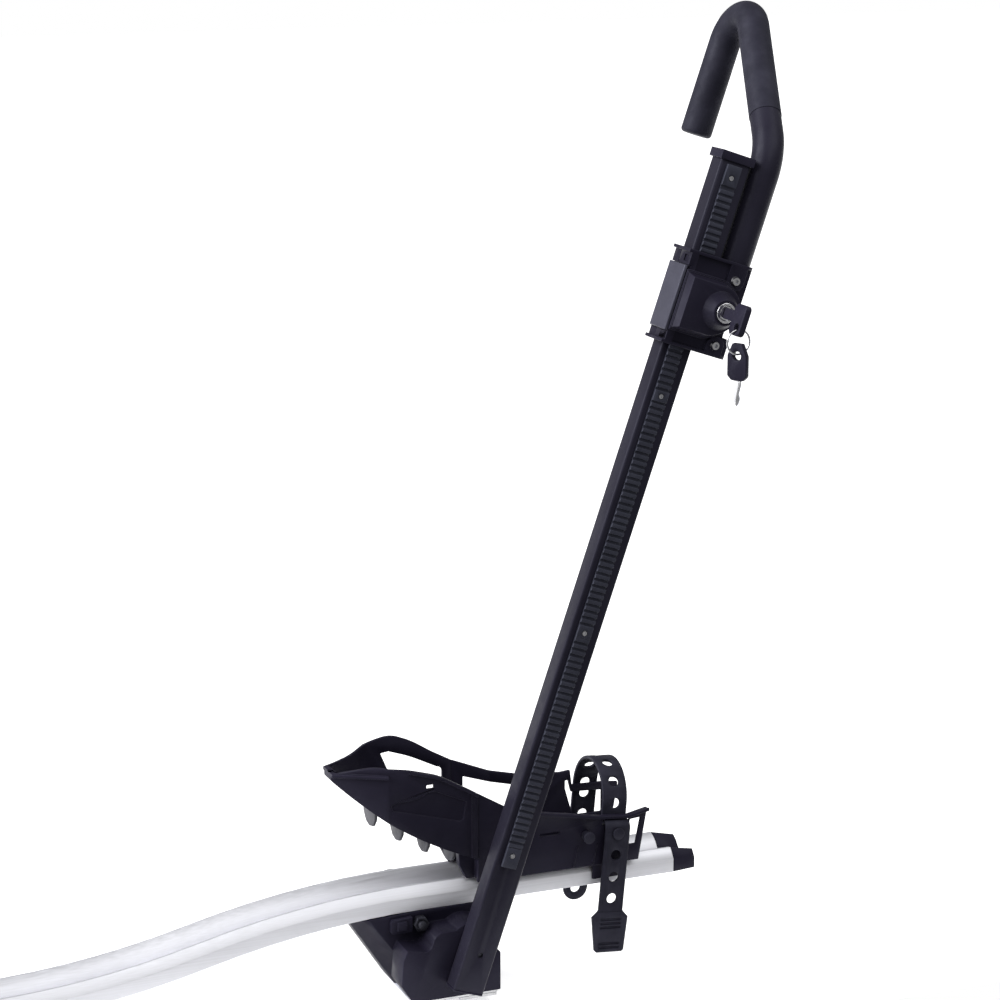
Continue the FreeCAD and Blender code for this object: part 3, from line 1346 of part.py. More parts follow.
def on_circle(radius, forward):
    """Height of a circle round the wheel's axle at a place along the rails."""
    offset = sizes.wheel_forward - forward
    height = math.sqrt(radius.value ** 2 - offset.value ** 2)
    text = f"sqrt({radius.text} * {radius.text} - {offset.text} * {offset.text})"
    return wheel_middle - Size(height, text)


def arc_strip(outer, inner, back, front):
    """A strip between two circles round the wheel's axle."""
    return [
        (back, on_circle(outer, back), outer),
        (front, on_circle(outer, front)),
        (front, on_circle(inner, front), -inner),
        (back, on_circle(inner, back)),
    ]


def plan(inset, back, front, corner):
    """The wing seen from above, drawn in by an inset; it narrows to its nose."""
    side = sizes.cradle_side - inset
    nose = sizes.nose_half - inset * 0.4
    return [
        (back + inset, -nose),
        (corner + inset * 0.4, -side),
        (front, -side),
        (front, side),
        (corner + inset * 0.4, side),
        (back + inset, nose),
    ]


wing_back = -sizes.nose_back
wing_corner = -sizes.nose_corner
wing_top = sizes.wheel_low + 125
side = sizes.cradle_side
inner_side = side - sizes.cradle_wall
far_reach = side * 2

# Heights of the rims, from the nose to the front: the far wall stands higher than the near one,
# and is notched where the strap passes over it.
near_rim = [
    (wing_back - 2, sizes.wheel_low + 104),
    (wing_corner - 10, sizes.wheel_low + 113),
    (wing_corner + 20, sizes.wheel_low + 108),
    (sizes.cradle_seam - 38, sizes.wheel_low + 99.5),
    (sizes.cradle_seam - 8, sizes.wheel_low + 82),
    (sizes.cradle_seam, sizes.wheel_low + 77),
    (sizes.cradle_seam + 30, sizes.wheel_low + 59),
    (sizes.cradle_seam + 65, sizes.wheel_low + 50),
    (sizes.wheel_forward - 12, sizes.wheel_low + 39),
    (sizes.wheel_forward + 16, sizes.wheel_low + 36.5),
    (sizes.cradle_front + 1, sizes.wheel_low + 41),
]
far_rim = [
    (wing_back - 2, sizes.wheel_low + 106),
    (-sizes.nose_back + 30, sizes.wheel_low + 108),
    (wing_corner + 10, sizes.wheel_low + 117),
    (wing_corner + 27, sizes.wheel_low + 120),
    (wing_corner + 47, sizes.wheel_low + 112),
    (sizes.cradle_seam - 18, sizes.wheel_low + 98),
    (sizes.cradle_seam, sizes.wheel_low + 88),
    (sizes.cradle_seam + 39, sizes.wheel_low + 72),
    (sizes.cradle_seam + 68, sizes.wheel_low + 65),
    (sizes.wheel_forward - 24, sizes.wheel_low + 61),
    (sizes.wheel_forward - 13, sizes.wheel_low + 62),
    (sizes.wheel_forward - 11, sizes.wheel_low + 47),
    (sizes.wheel_forward + 22, sizes.wheel_low + 46),
    (sizes.cradle_front + 1, sizes.wheel_low + 44),
]


def above(rim, height):
    """Everything over a rim, up to a height."""
    return [*rim, (rim[-1][0], height), (rim[0][0], height)]


def rim_part(rim, back, front):
    """The points of a rim between two places along the rails."""
    return [point for point in rim if back <= point[0].value <= front]


def rim_bar(points):
    """A bar of even thickness under a rim."""
    under = [(point[0], point[1] - sizes.rim_thick) for point in reversed(points)]
    return [*points, *under]


wing = new_body("cradle_wing")
slab(wing, "XY", [plan(as_size(0), wing_back, sizes.cradle_seam, wing_corner),
                  plan(sizes.cradle_wall, wing_back, sizes.cradle_seam - 2, wing_corner)],
     sizes.cradle_low + 10, wing_top)
slab(wing, "XZ", [arc_strip(floor_under, floor_top, wing_back, sizes.cradle_seam)],
     -side, side)
cut(wing, "XY", [[
    (wing_back - 5, -side - 5),
    (wing_corner, -side - 5),
    (wing_corner, -side),
    (wing_back, -sizes.nose_half),
    (wing_back - 5, -sizes.nose_half),
], [
    (wing_back - 5, side + 5),
    (wing_back - 5, sizes.nose_half),
    (wing_back, sizes.nose_half),
    (wing_corner, side),
    (wing_corner, side + 5),
]], sizes.cradle_low, wing_top + 1)
cut(wing, "XZ", [above(near_rim, wing_top + 1)], -far_reach, 0)
cut(wing, "XZ", [above(far_rim, wing_top + 1)], 0, far_reach)
cut(wing, "XZ", [[
    (wing_back - 3, sizes.cradle_low),
    (sizes.cradle_seam + 3, sizes.cradle_low),
    (sizes.cradle_seam + 3, on_circle(wall_under, sizes.cradle_seam + 3), -wall_under),
    (wing_back - 3, on_circle(wall_under, wing_back - 3)),
]], -far_reach, far_reach)
# The end of the wing is open over its floor and under it, where the two halves meet.
cut(wing, "XZ", [
    box(sizes.cradle_seam - 2, sizes.cradle_seam + 1,
        on_circle(floor_top, sizes.cradle_seam - 2), wing_top),
    box(sizes.cradle_seam - 2, sizes.cradle_seam + 1,
        sizes.cradle_low, on_circle(floor_under, sizes.cradle_seam)),
], -inner_side, inner_side)
# Windows in the far wall.
cut(wing, "XZ", [[
    (wing_corner + 17, sizes.wheel_low + 103),
    (wing_corner + 30, sizes.wheel_low + 72),
    (sizes.cradle_seam - 14, sizes.wheel_low + 56, 5),
    (sizes.cradle_seam - 9, sizes.wheel_low + 61),
    (sizes.cradle_seam - 9, sizes.wheel_low + 78, 5),
    (sizes.cradle_seam - 14, sizes.wheel_low + 83),
    (wing_corner + 45, sizes.wheel_low + 97),
    (wing_corner + 25, sizes.wheel_low + 104),
]], inner_side - 1, side + 1)
slab(wing, "XZ", [rim_bar(rim_part(near_rim, wing_corner.value, sizes.cradle_seam.value))],
     -side - sizes.rim_out, -side)
# The rim runs on round the nose as a thin lip.
nose_rim = sizes.nose_half + sizes.rim_out
rim_side = side + sizes.rim_out
slab(wing, "XY", [[
    (wing_corner, -rim_side),
    (wing_corner, -side),
    (wing_back + 6, 1 - sizes.nose_half),
    (wing_back + 6, sizes.nose_half - 1),
    (wing_back + 20, side - 16),
    (wing_back + 18, side - 13),
    (wing_back, nose_rim),
    (wing_back, -nose_rim),
]], sizes.wheel_low + 102, sizes.wheel_low + 105.5)
# A hollow pressed into the near wall, a raised band at the seam, and a small drain slot.
panel_deep = 1.8
cut(wing, "XZ", [[
    (-51, 189.9),
    (-45.5, 192.2),
    (-25.5, 192.3),
    (-12.7, 200.4),
    (sizes.cradle_seam - 11, 184.9),
    (sizes.cradle_seam - 14, 168.4),
    (sizes.cradle_seam - 18, 166.6),
    (-49.3, 184.7),
]], -side, panel_deep - side)
slab(wing, "XZ", [[
    (sizes.cradle_seam - 6, on_circle(wall_under, sizes.cradle_seam - 6)),
    (sizes.cradle_seam, on_circle(wall_under, sizes.cradle_seam)),
    (sizes.cradle_seam, sizes.wheel_low + 75),
    (sizes.cradle_seam - 6, sizes.wheel_low + 79),
]], -side - 1.4, -side)
cut(wing, "XZ", [box(wing_corner + 37, wing_corner + 44, sizes.wheel_low + 88,
                     sizes.wheel_low + 91.5)], -side - 1, -inner_side)
rib_slot = sizes.rib_thick + sizes.snug * 2
for number in range(int(sizes.rib_count.value)):
    middle = sizes.rib_pitch * number - sizes.rib_first
    cut(wing, "XY", [box(middle - rib_slot / 2, middle + rib_slot / 2,
                         -sizes.rib_half - sizes.snug, sizes.rib_half + sizes.snug)],
        sizes.cradle_low, on_circle(floor_top, middle) + 20)

# A grey pad lies on the floor, and its cross ribs hang through slots in the floor.
wheel_pad = new_body("wheel_pad")
pad_back = -sizes.rib_first - 12
pad_front = sizes.cradle_seam - 4
slab(wheel_pad, "XZ", [arc_strip(floor_top - sizes.snug, floor_top - sizes.pad_thick,
                                 pad_back, pad_front)],
     -sizes.rib_half - 2, sizes.rib_half + 2)
for number in range(int(sizes.rib_count.value)):
    middle = sizes.rib_pitch * number - sizes.rib_first
    rib_top = on_circle(floor_top, middle) + 1
    rib_tip = on_circle(floor_under, middle) - sizes.rib_deep
    waist = rib_tip + sizes.rib_deep * 0.45
    slab(wheel_pad, "YZ", [[
        (-sizes.rib_half, rib_top),
        (-sizes.rib_half * 0.85, waist),
        (-sizes.rib_half * 0.5, rib_tip + sizes.rib_deep * 0.1),
        (0, rib_tip),
        (sizes.rib_half * 0.5, rib_tip + sizes.rib_deep * 0.1),
        (sizes.rib_half * 0.85, waist),
        (sizes.rib_half, rib_top),
    ]], middle - sizes.rib_thick / 2, middle + sizes.rib_thick / 2)

# The front block: a tray with its own walls, feet on the ridges and a leg behind.
ridge_high = sizes.rail_level + sizes.rail_tall + sizes.slip
block = new_body("cradle_block")
block_start = sizes.cradle_seam + sizes.snug
block_end = sizes.cradle_front
slab(block, "XY", [box(block_start, block_end, -side, side),
                   box(block_start + sizes.cradle_wall, block_end - sizes.cradle_wall,
                       -inner_side, inner_side)],
     sizes.cradle_low, wing_top)
slab(block, "XZ", [[
    (block_start, on_circle(floor_under, block_start), floor_under),
    (sizes.wheel_forward, wheel_middle - floor_under),
    (block_end, wheel_middle - floor_under),
    (block_end, wheel_middle - floor_top),
    (sizes.wheel_forward, wheel_middle - floor_top, -floor_top),
    (block_start, on_circle(floor_top, block_start)),
]], -side, side)
cut(block, "XZ", [above(near_rim, wing_top + 1)], -far_reach, 0)
cut(block, "XZ", [above(far_rim, wing_top + 1)], 0, far_reach)
# The tyre passes over the block, so its end walls are open above the floor.
cut(block, "XZ", [[
    (block_start - 1, on_circle(floor_top, block_start)),
    (block_start + sizes.cradle_wall + 1, on_circle(floor_top, block_start)),
    (block_start + sizes.cradle_wall + 1, wing_top),
    (block_start - 1, wing_top),
]], -inner_side, inner_side)
cut(block, "XZ", [box(block_end - sizes.cradle_wall - 1, block_end + 1,
                      wheel_middle - floor_top + 8, wing_top)], -inner_side, inner_side)
# Under the floor the end walls clear the rails.
rail_clear = sizes.rail_outer + sizes.slip * 2
for low, high in ((block_start - 1, block_start + sizes.cradle_wall + 1),
                  (block_end - sizes.cradle_wall - 1, block_end + 1)):
    cut(block, "XZ", [box(low, high, sizes.cradle_low - 1, ridge_high)], -rail_clear, rail_clear)
foot_middle = sizes.rail_ridge
for middle in (-foot_middle, foot_middle):
    slab(block, "XZ", [[
        (block_start, ridge_high),
        (block_end, ridge_high),
        (block_end, wheel_middle - floor_under + 1),
        (sizes.wheel_forward, wheel_middle - floor_under + 1, -floor_under),
        (block_start, on_circle(floor_under, block_start) + 1),
    ]], middle - 3, middle + 3)
# The front ends of the walls lean back towards the rails, with an open triangle in each.
lean_out = 9
cut(block, "XZ", [[
    (block_end - lean_out, sizes.cradle_low - 1),
    (block_end + 1, sizes.cradle_low - 1),
    (block_end + 1, sizes.wheel_low + 41),
    (block_end, sizes.wheel_low + 41),
]], -side - 1, side + 1)
cut(block, "XZ", [[
    (block_end - lean_out - 12, sizes.wheel_low + 6),
    (block_end - lean_out - 3, sizes.wheel_low + 6),
    (block_end - 7, sizes.wheel_low + 32),
    (block_end - 18, sizes.wheel_low + 31),
]], -side - 1, -inner_side + 1)
# Windows in the far wall.
cut(block, "XZ", [[
    (sizes.cradle_seam + 12, sizes.wheel_low + 70),
    (sizes.cradle_seam + 12, sizes.wheel_low + 44),
    (sizes.cradle_seam + 62, sizes.wheel_low + 22),
    (sizes.cradle_seam + 68, sizes.wheel_low + 26),
    (sizes.cradle_seam + 68, sizes.wheel_low + 50, 5),
    (sizes.cradle_seam + 63, sizes.wheel_low + 55),
    (sizes.cradle_seam + 39, sizes.wheel_low + 61),
], [
    (sizes.wheel_forward - 18, sizes.wheel_low + 44),
    (sizes.wheel_forward - 10, sizes.wheel_low + 16),
    (sizes.wheel_forward + 20, sizes.wheel_low + 16),
    (sizes.wheel_forward + 20, sizes.wheel_low + 38),
    (sizes.wheel_forward - 12, sizes.wheel_low + 40),
    (sizes.wheel_forward - 15, sizes.wheel_low + 52),
    (sizes.wheel_forward - 18, sizes.wheel_low + 52),
]], inner_side - 1, side + 1)
slab(block, "XZ", [rim_bar(rim_part(near_rim, sizes.cradle_seam.value + 1,
                                    sizes.cradle_front.value + 1))],
     -side - sizes.rim_out, -side)
# The strap leaves through a slot under the rim; a narrow slot and ribs lighten the wall.
slot_middle = sizes.wheel_low + 32
half_strap = sizes.strap_wide / 2
half_slot = sizes.strap_thick / 2 + 1.7
strap_root = sizes.wheel_low - 26
strap_slope = tangent(sizes.strap_lean)
slot_forward = sizes.strap_forward + (slot_middle - strap_root) * strap_slope
slot_tilt = half_strap * strap_slope
cut(block, "XZ", [[
    (slot_forward - half_strap - 1.5, slot_middle - half_slot + slot_tilt),
    (slot_forward + half_strap + 1.5, slot_middle - half_slot - slot_tilt),
    (slot_forward + half_strap + 1.5, slot_middle + half_slot - slot_tilt),
    (slot_forward - half_strap - 1.5, slot_middle + half_slot + slot_tilt),
]], -side, -inner_side)
# A tongue behind the strap keeps it off the rail.
slab(block, "XZ", [box(sizes.wheel_forward - 18, sizes.wheel_forward + 12,
                       sizes.rail_level + 6, sizes.cradle_low + 2)],
     -sizes.rail_outer - 3.5, -sizes.rail_outer - sizes.slip * 2)
cut(block, "XZ", [box(sizes.wheel_forward - 73, sizes.wheel_forward - 53,
                      sizes.wheel_low + 26, sizes.wheel_low + 29)], -side, -inner_side)
for rib_at in (sizes.wheel_forward - 40, sizes.wheel_forward - 20):
    slab(block, "XZ", [[
        (rib_at, sizes.cradle_low + 2),
        (rib_at + 1.5, sizes.cradle_low + 2),
        (rib_at + 6, sizes.wheel_low + 12),
        (rib_at + 4.5, sizes.wheel_low + 12),
    ]], -side - 1.5, -side)
# The leg behind the block stands on the ridges.
for middle in (-foot_middle, foot_middle):
    slab(block, "XZ", [[
        (block_start - 8, ridge_high),
        (block_start + 1, ridge_high),
        (block_start + 1, on_circle(floor_under, block_start) - 1),
        (block_start - 16, on_circle(wall_under, block_start - 16) - 1),
        (block_start - 15, ridge_high + 14),
    ]], middle - 4.5, middle + 4.5)

peg_long = 8
peg_forward = (sizes.strap_forward + (sizes.peg_high - strap_root) * strap_slope).value
strap_pegs = solid_group("strap_pegs", [
    post(Vector(peg_at, -side.value, sizes.peg_high.value), sizes.peg_radius.value, peg_long,
         Vector(0, -1, 0)).fuse(
        post(Vector(peg_at, -side.value - peg_long, sizes.peg_high.value),
             sizes.peg_head_radius.value, 2.4, Vector(0, -1, 0)))
    for peg_at in (peg_forward - 30, peg_forward)
])

# Wheel strap: a flat rubber band with a row of holes. It hangs free outside the far wall, loops
# over the wheel's place, leaves through the slot and is hooked over a peg.
band = sizes.strap_thick.value
band_wide = sizes.strap_wide.value
near_band = -side.value - peg_long + band / 2 + sizes.slip.value
far_band = side.value + band / 2 + sizes.slip.value + 1.5
inner_band = -inner_side.value + band / 2 + sizes.slip.value + 1
loop_radius = (far_band - inner_band) / 2
loop_base = sizes.wheel_low.value + 46
bend = (inner_band - near_band) / 2
eye_high = sizes.wheel_low.value - 61
tab_high = sizes.wheel_low.value - 61
strap_x = sizes.strap_forward.value


def strap_point(y, z):
    return Vector(strap_x, y, z)


def strap_arc(middle_y, middle_z, radius, start, end):
    """A quarter or half turn of the band's middle line, by its angles in the end view."""
    points = []
    for angle in (start, (start + end) / 2, end):
        turn = math.radians(angle)
        points.append(strap_point(middle_y + radius * math.cos(turn),
                                  middle_z + radius * math.sin(turn)))
    return Part.Arc(*points).toShape()


loop_middle = (far_band + inner_band) / 2
strap_line = Part.Wire([
    Part.LineSegment(strap_point(far_band, eye_high), strap_point(far_band, loop_base)).toShape(),
    strap_arc(loop_middle, loop_base, loop_radius, 0, 90),
    strap_arc(loop_middle, loop_base, loop_radius, 90, 180),
    Part.LineSegment(strap_point(inner_band, loop_base),
                     strap_point(inner_band, slot_middle.value + bend)).toShape(),
    strap_arc(inner_band - bend, slot_middle.value + bend, bend, 0, -90),
    strap_arc(near_band + bend, slot_middle.value - bend, bend, 90, 180),
    Part.LineSegment(strap_point(near_band, slot_middle.value - bend),
                     strap_point(near_band, tab_high)).toShape(),
])
section = Part.makePolygon([
    Vector(strap_x - band_wide / 2, far_band - band / 2, eye_high),
    Vector(strap_x + band_wide / 2, far_band - band / 2, eye_high),
    Vector(strap_x + band_wide / 2, far_band + band / 2, eye_high),
    Vector(strap_x - band_wide / 2, far_band + band / 2, eye_high),
    Vector(strap_x - band_wide / 2, far_band - band / 2, eye_high),
])
strap_shape = strap_line.makePipeShell([section], True, False)
eye = post(strap_point(far_band - band / 2, eye_high), band_wide / 2, band, Vector(0, 1, 0), 28)
tab_face = Part.Face(Part.makePolygon([
    Vector(strap_x + across, near_band - band / 2 - 0.4, tab_high + up)
    for across, up in ((-12.5, 6), (-18.5, 0), (-13, -33), (-11, -35), (15, -35), (17, -33),
                       (18.5, 0), (12.5, 6), (-12.5, 6))
]))
tab = tab_face.extrude(Vector(0, band + 0.8, 0))
# Grip grooves across the tab: three near its shoulders and two near its end.
groove_face = near_band - band / 2 - 0.4
for up in (-3, -7, -11, -27, -31):
    tab = tab.cut(Part.makeBox(21, 0.8, 1.6, Vector(strap_x - 9.5, groove_face, tab_high + up)))
strap_shape = strap_shape.fuse([eye, tab])
hole_places = [(strap_point(far_band, eye_high), Vector(0, 1, 0))]
for number in range(-3, 3):
    height = sizes.peg_high.value + sizes.strap_hole_pitch.value * number
    if height < slot_middle.value - bend - 3:
        hole_places.append((strap_point(near_band, height), Vector(0, 1, 0)))
for number in range(4):
    height = eye_high + sizes.strap_hole_pitch.value * (number + 1.5)
    if height < loop_base:
        hole_places.append((strap_point(far_band, height), Vector(0, 1, 0)))
for angle in (0, 36, 72, 108, 144, 178):
    turn = math.radians(angle)
    outward = Vector(0, math.cos(turn), math.sin(turn))
    hole_places.append((strap_point(loop_middle, loop_base) + outward * loop_radius, outward))
for middle, direction in hole_places:
    start = middle - direction * band * 2
    strap_shape = strap_shape.cut(
        post(start, sizes.strap_hole_radius.value, band * 4, direction, 20))
strap_shape.rotate(Vector(strap_x, 0, strap_root.value), Vector(0, 1, 0),
                   sizes.strap_lean.value)
wheel_strap = doc.addObject("Part::Feature", "wheel_strap")
wheel_strap.Label = "wheel_strap"
wheel_strap.Shape = strap_shape
keep(wheel_strap)


# Rear foot: slides along the rails on bolts whose heads hang in the rails' slots, and clamps the
# second roof bar with its own pair of T-bolts.

rear_x = -sizes.rear_back
rear_half = sizes.rear_half_long
rear_top = rail_low_level - sizes.slip
flange_top = sizes.rear_flange_high
plates_top = sizes.foot_plate_thick * 2
rear_foot = new_body("rear_foot")
slab(rear_foot, "XZ", [[
    (rear_x - rear_half + 6, plates_top),
    (rear_x + rear_half - 6, plates_top),
    (rear_x + rear_half, plates_top + 6),
    (rear_x + rear_half - 6, rear_top),
    (rear_x - rear_half + 6, rear_top),
    (rear_x - rear_half, plates_top + 6),
]], -sizes.rear_saddle_half, sizes.rear_saddle_half)
slab(rear_foot, "XY", [[
    (rear_x - rear_half + 8, -sizes.rear_saddle_half + 1),
    (rear_x - 16, 4 - sizes.rear_half_wide, 20),
    (rear_x + 16, 4 - sizes.rear_half_wide),
    (rear_x + rear_half - 8, -sizes.rear_saddle_half + 1),
    (rear_x + rear_half - 8, sizes.rear_saddle_half - 1),
    (rear_x + 16, sizes.rear_half_wide - 4, 20),
    (rear_x - 16, sizes.rear_half_wide - 4),
    (rear_x - rear_half + 8, sizes.rear_saddle_half - 1),
]], plates_top, flange_top)
bolt_bore = sizes.bolt_radius + sizes.snug
bolt_bores = [many_sided(rear_x, -sizes.rear_bolt_side, bolt_bore),
              many_sided(rear_x, sizes.rear_bolt_side, bolt_bore)]
cut(rear_foot, "XY", bolt_bores, 0, flange_top + 1)
rail_bolt_bore = sizes.rail_bolt_radius + sizes.snug
rail_bolt_places = [
    (rear_x + along_rail, across)
    for along_rail in (-sizes.rail_bolt_spread, sizes.rail_bolt_spread)
    for across in (-sizes.rail_slot_middle, sizes.rail_slot_middle)
]
# Each rail bolt sits in a pocket that opens downwards, above the steel plates.
pocket_radius = sizes.rail_bolt_radius + 4
pocket_top = rear_top - 7
cut(rear_foot, "XY", [many_sided(x, y, rail_bolt_bore, 12) for x, y in rail_bolt_places],
    0, rear_top + 1)
cut(rear_foot, "XY", [many_sided(x, y, pocket_radius, 12) for x, y in rail_bolt_places],
    plates_top - 1, pocket_top)
# Grip grooves on both ends of the saddle.
for number in range(3):
    groove_low = plates_top + 9 + 5 * number
    cut(rear_foot, "XZ", [
        box(rear_x - rear_half - 1, rear_x - rear_half + 3.6, groove_low, groove_low + 2),
        box(rear_x + rear_half - 3.6, rear_x + rear_half + 1, groove_low, groove_low + 2),
    ], -sizes.rear_saddle_half - 1, sizes.rear_saddle_half + 1)


rear_upper_plate = new_body("rear_upper_plate")
slab(rear_upper_plate, "XY", [
    box(rear_x - 15, rear_x + 15, 2 - sizes.rear_half_wide, sizes.rear_half_wide - 2),
    *bolt_bores,
], sizes.foot_plate_thick, plates_top - sizes.snug)
# The lower plate ends short of the heads of the bolts.
rear_plate_half = sizes.rear_bolt_side - sizes.bolt_head_long / 2 - 1
rear_lower_plate = new_body("rear_lower_plate")
slab(rear_lower_plate, "XY", [box(rear_x - 20, rear_x + 20, -rear_plate_half, rear_plate_half)],
     0, sizes.foot_plate_thick - sizes.snug)


def nut_solid(x, y, low, flats, tall):
    """A nut that stands on a height, without its thread."""
    corners = [Vector(x + across, y + up, low) for across, up in hexagon(0, 0, flats)]
    return Part.Face(Part.makePolygon([*corners, corners[0]])).extrude(Vector(0, 0, tall))


def rail_bolt(middle_x, middle_y):
    """A bolt with a square head inside the rail and a washer-faced nut in the foot's pocket."""
    head_low = rail_low_level.value + sizes.rail_wall.value + sizes.slip.value
    half_head = sizes.rail_bolt_head.value / 2
    low = pocket_top.value - 8
    head = Part.makeBox(half_head * 2, half_head * 2, sizes.rail_bolt_head_tall.value,
                        Vector(middle_x - half_head, middle_y - half_head, head_low))
    shank = post(Vector(middle_x, middle_y, low), sizes.rail_bolt_radius.value,
                 head_low + 1 - low, Vector(0, 0, 1), 12)
    nut = nut_solid(middle_x, middle_y, pocket_top.value - 5.1, 10, 5)
    return head.fuse([shank, nut])


rail_bolts = solid_group("rail_bolts", [
    rail_bolt(x.value, y.value) for x, y in rail_bolt_places
])
rear_near_bolt = solid_group("rear_near_bolt", [
    t_bolt(rear_x.value, -sizes.rear_bolt_side.value, sizes.bolt_drop.value,
           flange_top.value + 12)
])
rear_far_bolt = solid_group("rear_far_bolt", [
    t_bolt(rear_x.value, sizes.rear_bolt_side.value, sizes.bolt_drop.value,
           sizes.rear_knob_low.value + sizes.rear_knob_tall.value - 6)
])
rear_nuts = solid_group("rear_nuts", [
    nut_solid(rear_x.value, place_side * sizes.rear_bolt_side.value,
              flange_top.value + sizes.snug.value, sizes.nut_flats.value,
              sizes.nut_tall.value - 1).cut(
        post(Vector(rear_x.value, place_side * sizes.rear_bolt_side.value, flange_top.value),
             sizes.bolt_radius.value + sizes.snug.value, 20, Vector(0, 0, 1)))
    for place_side in (-1, 1)
])

# Knob of the far bolt: a lobed grip that turns round the end of the bolt.
rear_knob = new_body("rear_knob")
knob_top = sizes.rear_knob_low + sizes.rear_knob_tall
slab(rear_knob, "XY", [
    (rear_x, sizes.rear_bolt_side, sizes.rear_knob_radius),
    (rear_x, sizes.rear_bolt_side, sizes.bolt_radius + sizes.snug),
], sizes.rear_knob_low, knob_top - 5)
slab(rear_knob, "XY", [(rear_x, sizes.rear_bolt_side, sizes.rear_knob_radius)],
     knob_top - 5.5, knob_top)
notches = []
for number in range(6):
    turn = as_size(60.0 * number)
    notches.append(many_sided(rear_x + cosine(turn) * (sizes.rear_knob_radius + 2.5),
                              sizes.rear_bolt_side + sine(turn) * (sizes.rear_knob_radius + 2.5),
                              as_size(5)))
cut(rear_knob, "XY", notches, sizes.rear_knob_low + 4, knob_top + 1)


# Holder for the rear wheel: a short tray astride the rails, held by hooks under them.

tray_x = -sizes.tray_back
tray_half = sizes.tray_half_long
tray_floor_low = rail_low_level + sizes.rail_tall + sizes.slip
tray_floor_high = tray_floor_low + sizes.tray_floor
tray_inner = sizes.rail_outer + sizes.slip
tray_outer = tray_inner + sizes.tray_wall
tray_top = tray_floor_high + sizes.tray_rise
shoulder = rail_low_level + sizes.rail_side_tall
skirt_low = shoulder - sizes.tray_skirt
hook_low = rail_low_level - sizes.slip - sizes.tray_wall
rear_tray = new_body("rear_tray")
tray_profile = [
    (-tray_outer, skirt_low),
    (-tray_inner, skirt_low),
    (-tray_inner, tray_floor_low),
    (tray_inner, tray_floor_low),
    (tray_inner, skirt_low),
    (tray_outer, skirt_low),
    (tray_outer, tray_top),
    (tray_inner, tray_top),
    (tray_inner, tray_floor_high + 4),
    (tray_inner - 4, tray_floor_high),
    (4 - tray_inner, tray_floor_high),
    (-tray_inner, tray_floor_high + 4),
    (-tray_inner, tray_top),
    (-tray_outer, tray_top),
]
slab(rear_tray, "YZ", [tray_profile], tray_x - tray_half, tray_x + tray_half)
# The walls fall away towards both ends.
cut(rear_tray, "XZ", [[
    (tray_x - tray_half - 1, tray_floor_high + 8),
    (tray_x - tray_half + 30, tray_top - 4, -12),
    (tray_x - tray_half + 38, tray_top),
    (tray_x - tray_half + 38, tray_top + 1),
    (tray_x - tray_half - 1, tray_top + 1),
], [
    (tray_x + tray_half + 1, tray_floor_high + 8),
    (tray_x + tray_half + 1, tray_top + 1),
    (tray_x + tray_half - 38, tray_top + 1),
    (tray_x + tray_half - 38, tray_top, -12),
    (tray_x + tray_half - 30, tray_top - 4),
]], -tray_outer - 1, tray_outer + 1)
for low, high in ((-tray_outer, -tray_inner + 4), (tray_inner - 4, tray_outer)):
    slab(rear_tray, "XZ", [box(tray_x - sizes.hook_half_long, tray_x + sizes.hook_half_long,
                               hook_low, rail_low_level - sizes.slip)], low, high)
for low, high in ((-tray_outer, -tray_inner), (tray_inner, tray_outer)):
    slab(rear_tray, "XZ", [box(tray_x - sizes.hook_half_long, tray_x + sizes.hook_half_long,
                               hook_low, skirt_low + 1)], low, high)
cut(rear_tray, "XZ", [
    box(tray_x - 40, tray_x - 26, tray_floor_high + 5, tray_floor_high + 10),
    box(tray_x + 26, tray_x + 40, tray_floor_high + 5, tray_floor_high + 10),
], -tray_outer - 1, tray_outer + 1)
strap_inside = sizes.ladder_radius - sizes.ladder_thick / 2
rivet_high = sizes.ladder_low + 7
rivet_hole = [many_sided(tray_x, rivet_high, as_size(2.6))]
slab(rear_tray, "XZ", [many_sided(tray_x, rivet_high, as_size(6.5))],
     sizes.snug - strap_inside, 0.5 - tray_outer)
cut(rear_tray, "XZ", rivet_hole, -strap_inside - 1, 1 - tray_inner)

# Ladder strap: an arch over the tyre with rungs along its outer side.
strap_middle = sizes.ladder_high
outer_arch = sizes.ladder_radius + sizes.ladder_thick / 2
half_ladder = sizes.ladder_wide / 2
ladder = new_body("ladder_strap")
slab(ladder, "YZ", [[
    (-outer_arch, sizes.ladder_low),
    (-strap_inside, sizes.ladder_low),
    (-strap_inside, strap_middle, -strap_inside),
    (0, strap_middle + strap_inside, -strap_inside),
    (strap_inside, strap_middle),
    (strap_inside, sizes.ladder_low - 4),
    (outer_arch, sizes.ladder_low - 4),
    (outer_arch, strap_middle, outer_arch),
    (0, strap_middle + outer_arch, outer_arch),
    (-outer_arch, strap_middle),
]], tray_x - half_ladder, tray_x + half_ladder)
for number in range(15):
    angle = as_size(18 + 7.0 * number)
    rung_inner = outer_arch - 0.5
    rung_outer = outer_arch + sizes.ladder_rung
    slab(ladder, "YZ", [[
        (cosine(angle) * rung_inner, strap_middle + sine(angle) * rung_inner),
        (cosine(angle) * rung_outer, strap_middle + sine(angle) * rung_outer),
        (cosine(angle + 3) * rung_outer, strap_middle + sine(angle + 3) * rung_outer),
        (cosine(angle + 3) * rung_inner, strap_middle + sine(angle + 3) * rung_inner),
    ]], tray_x - half_ladder + 3, tray_x + half_ladder - 3)
cut(ladder, "XZ", rivet_hole, -outer_arch - 1, -strap_inside + 1)

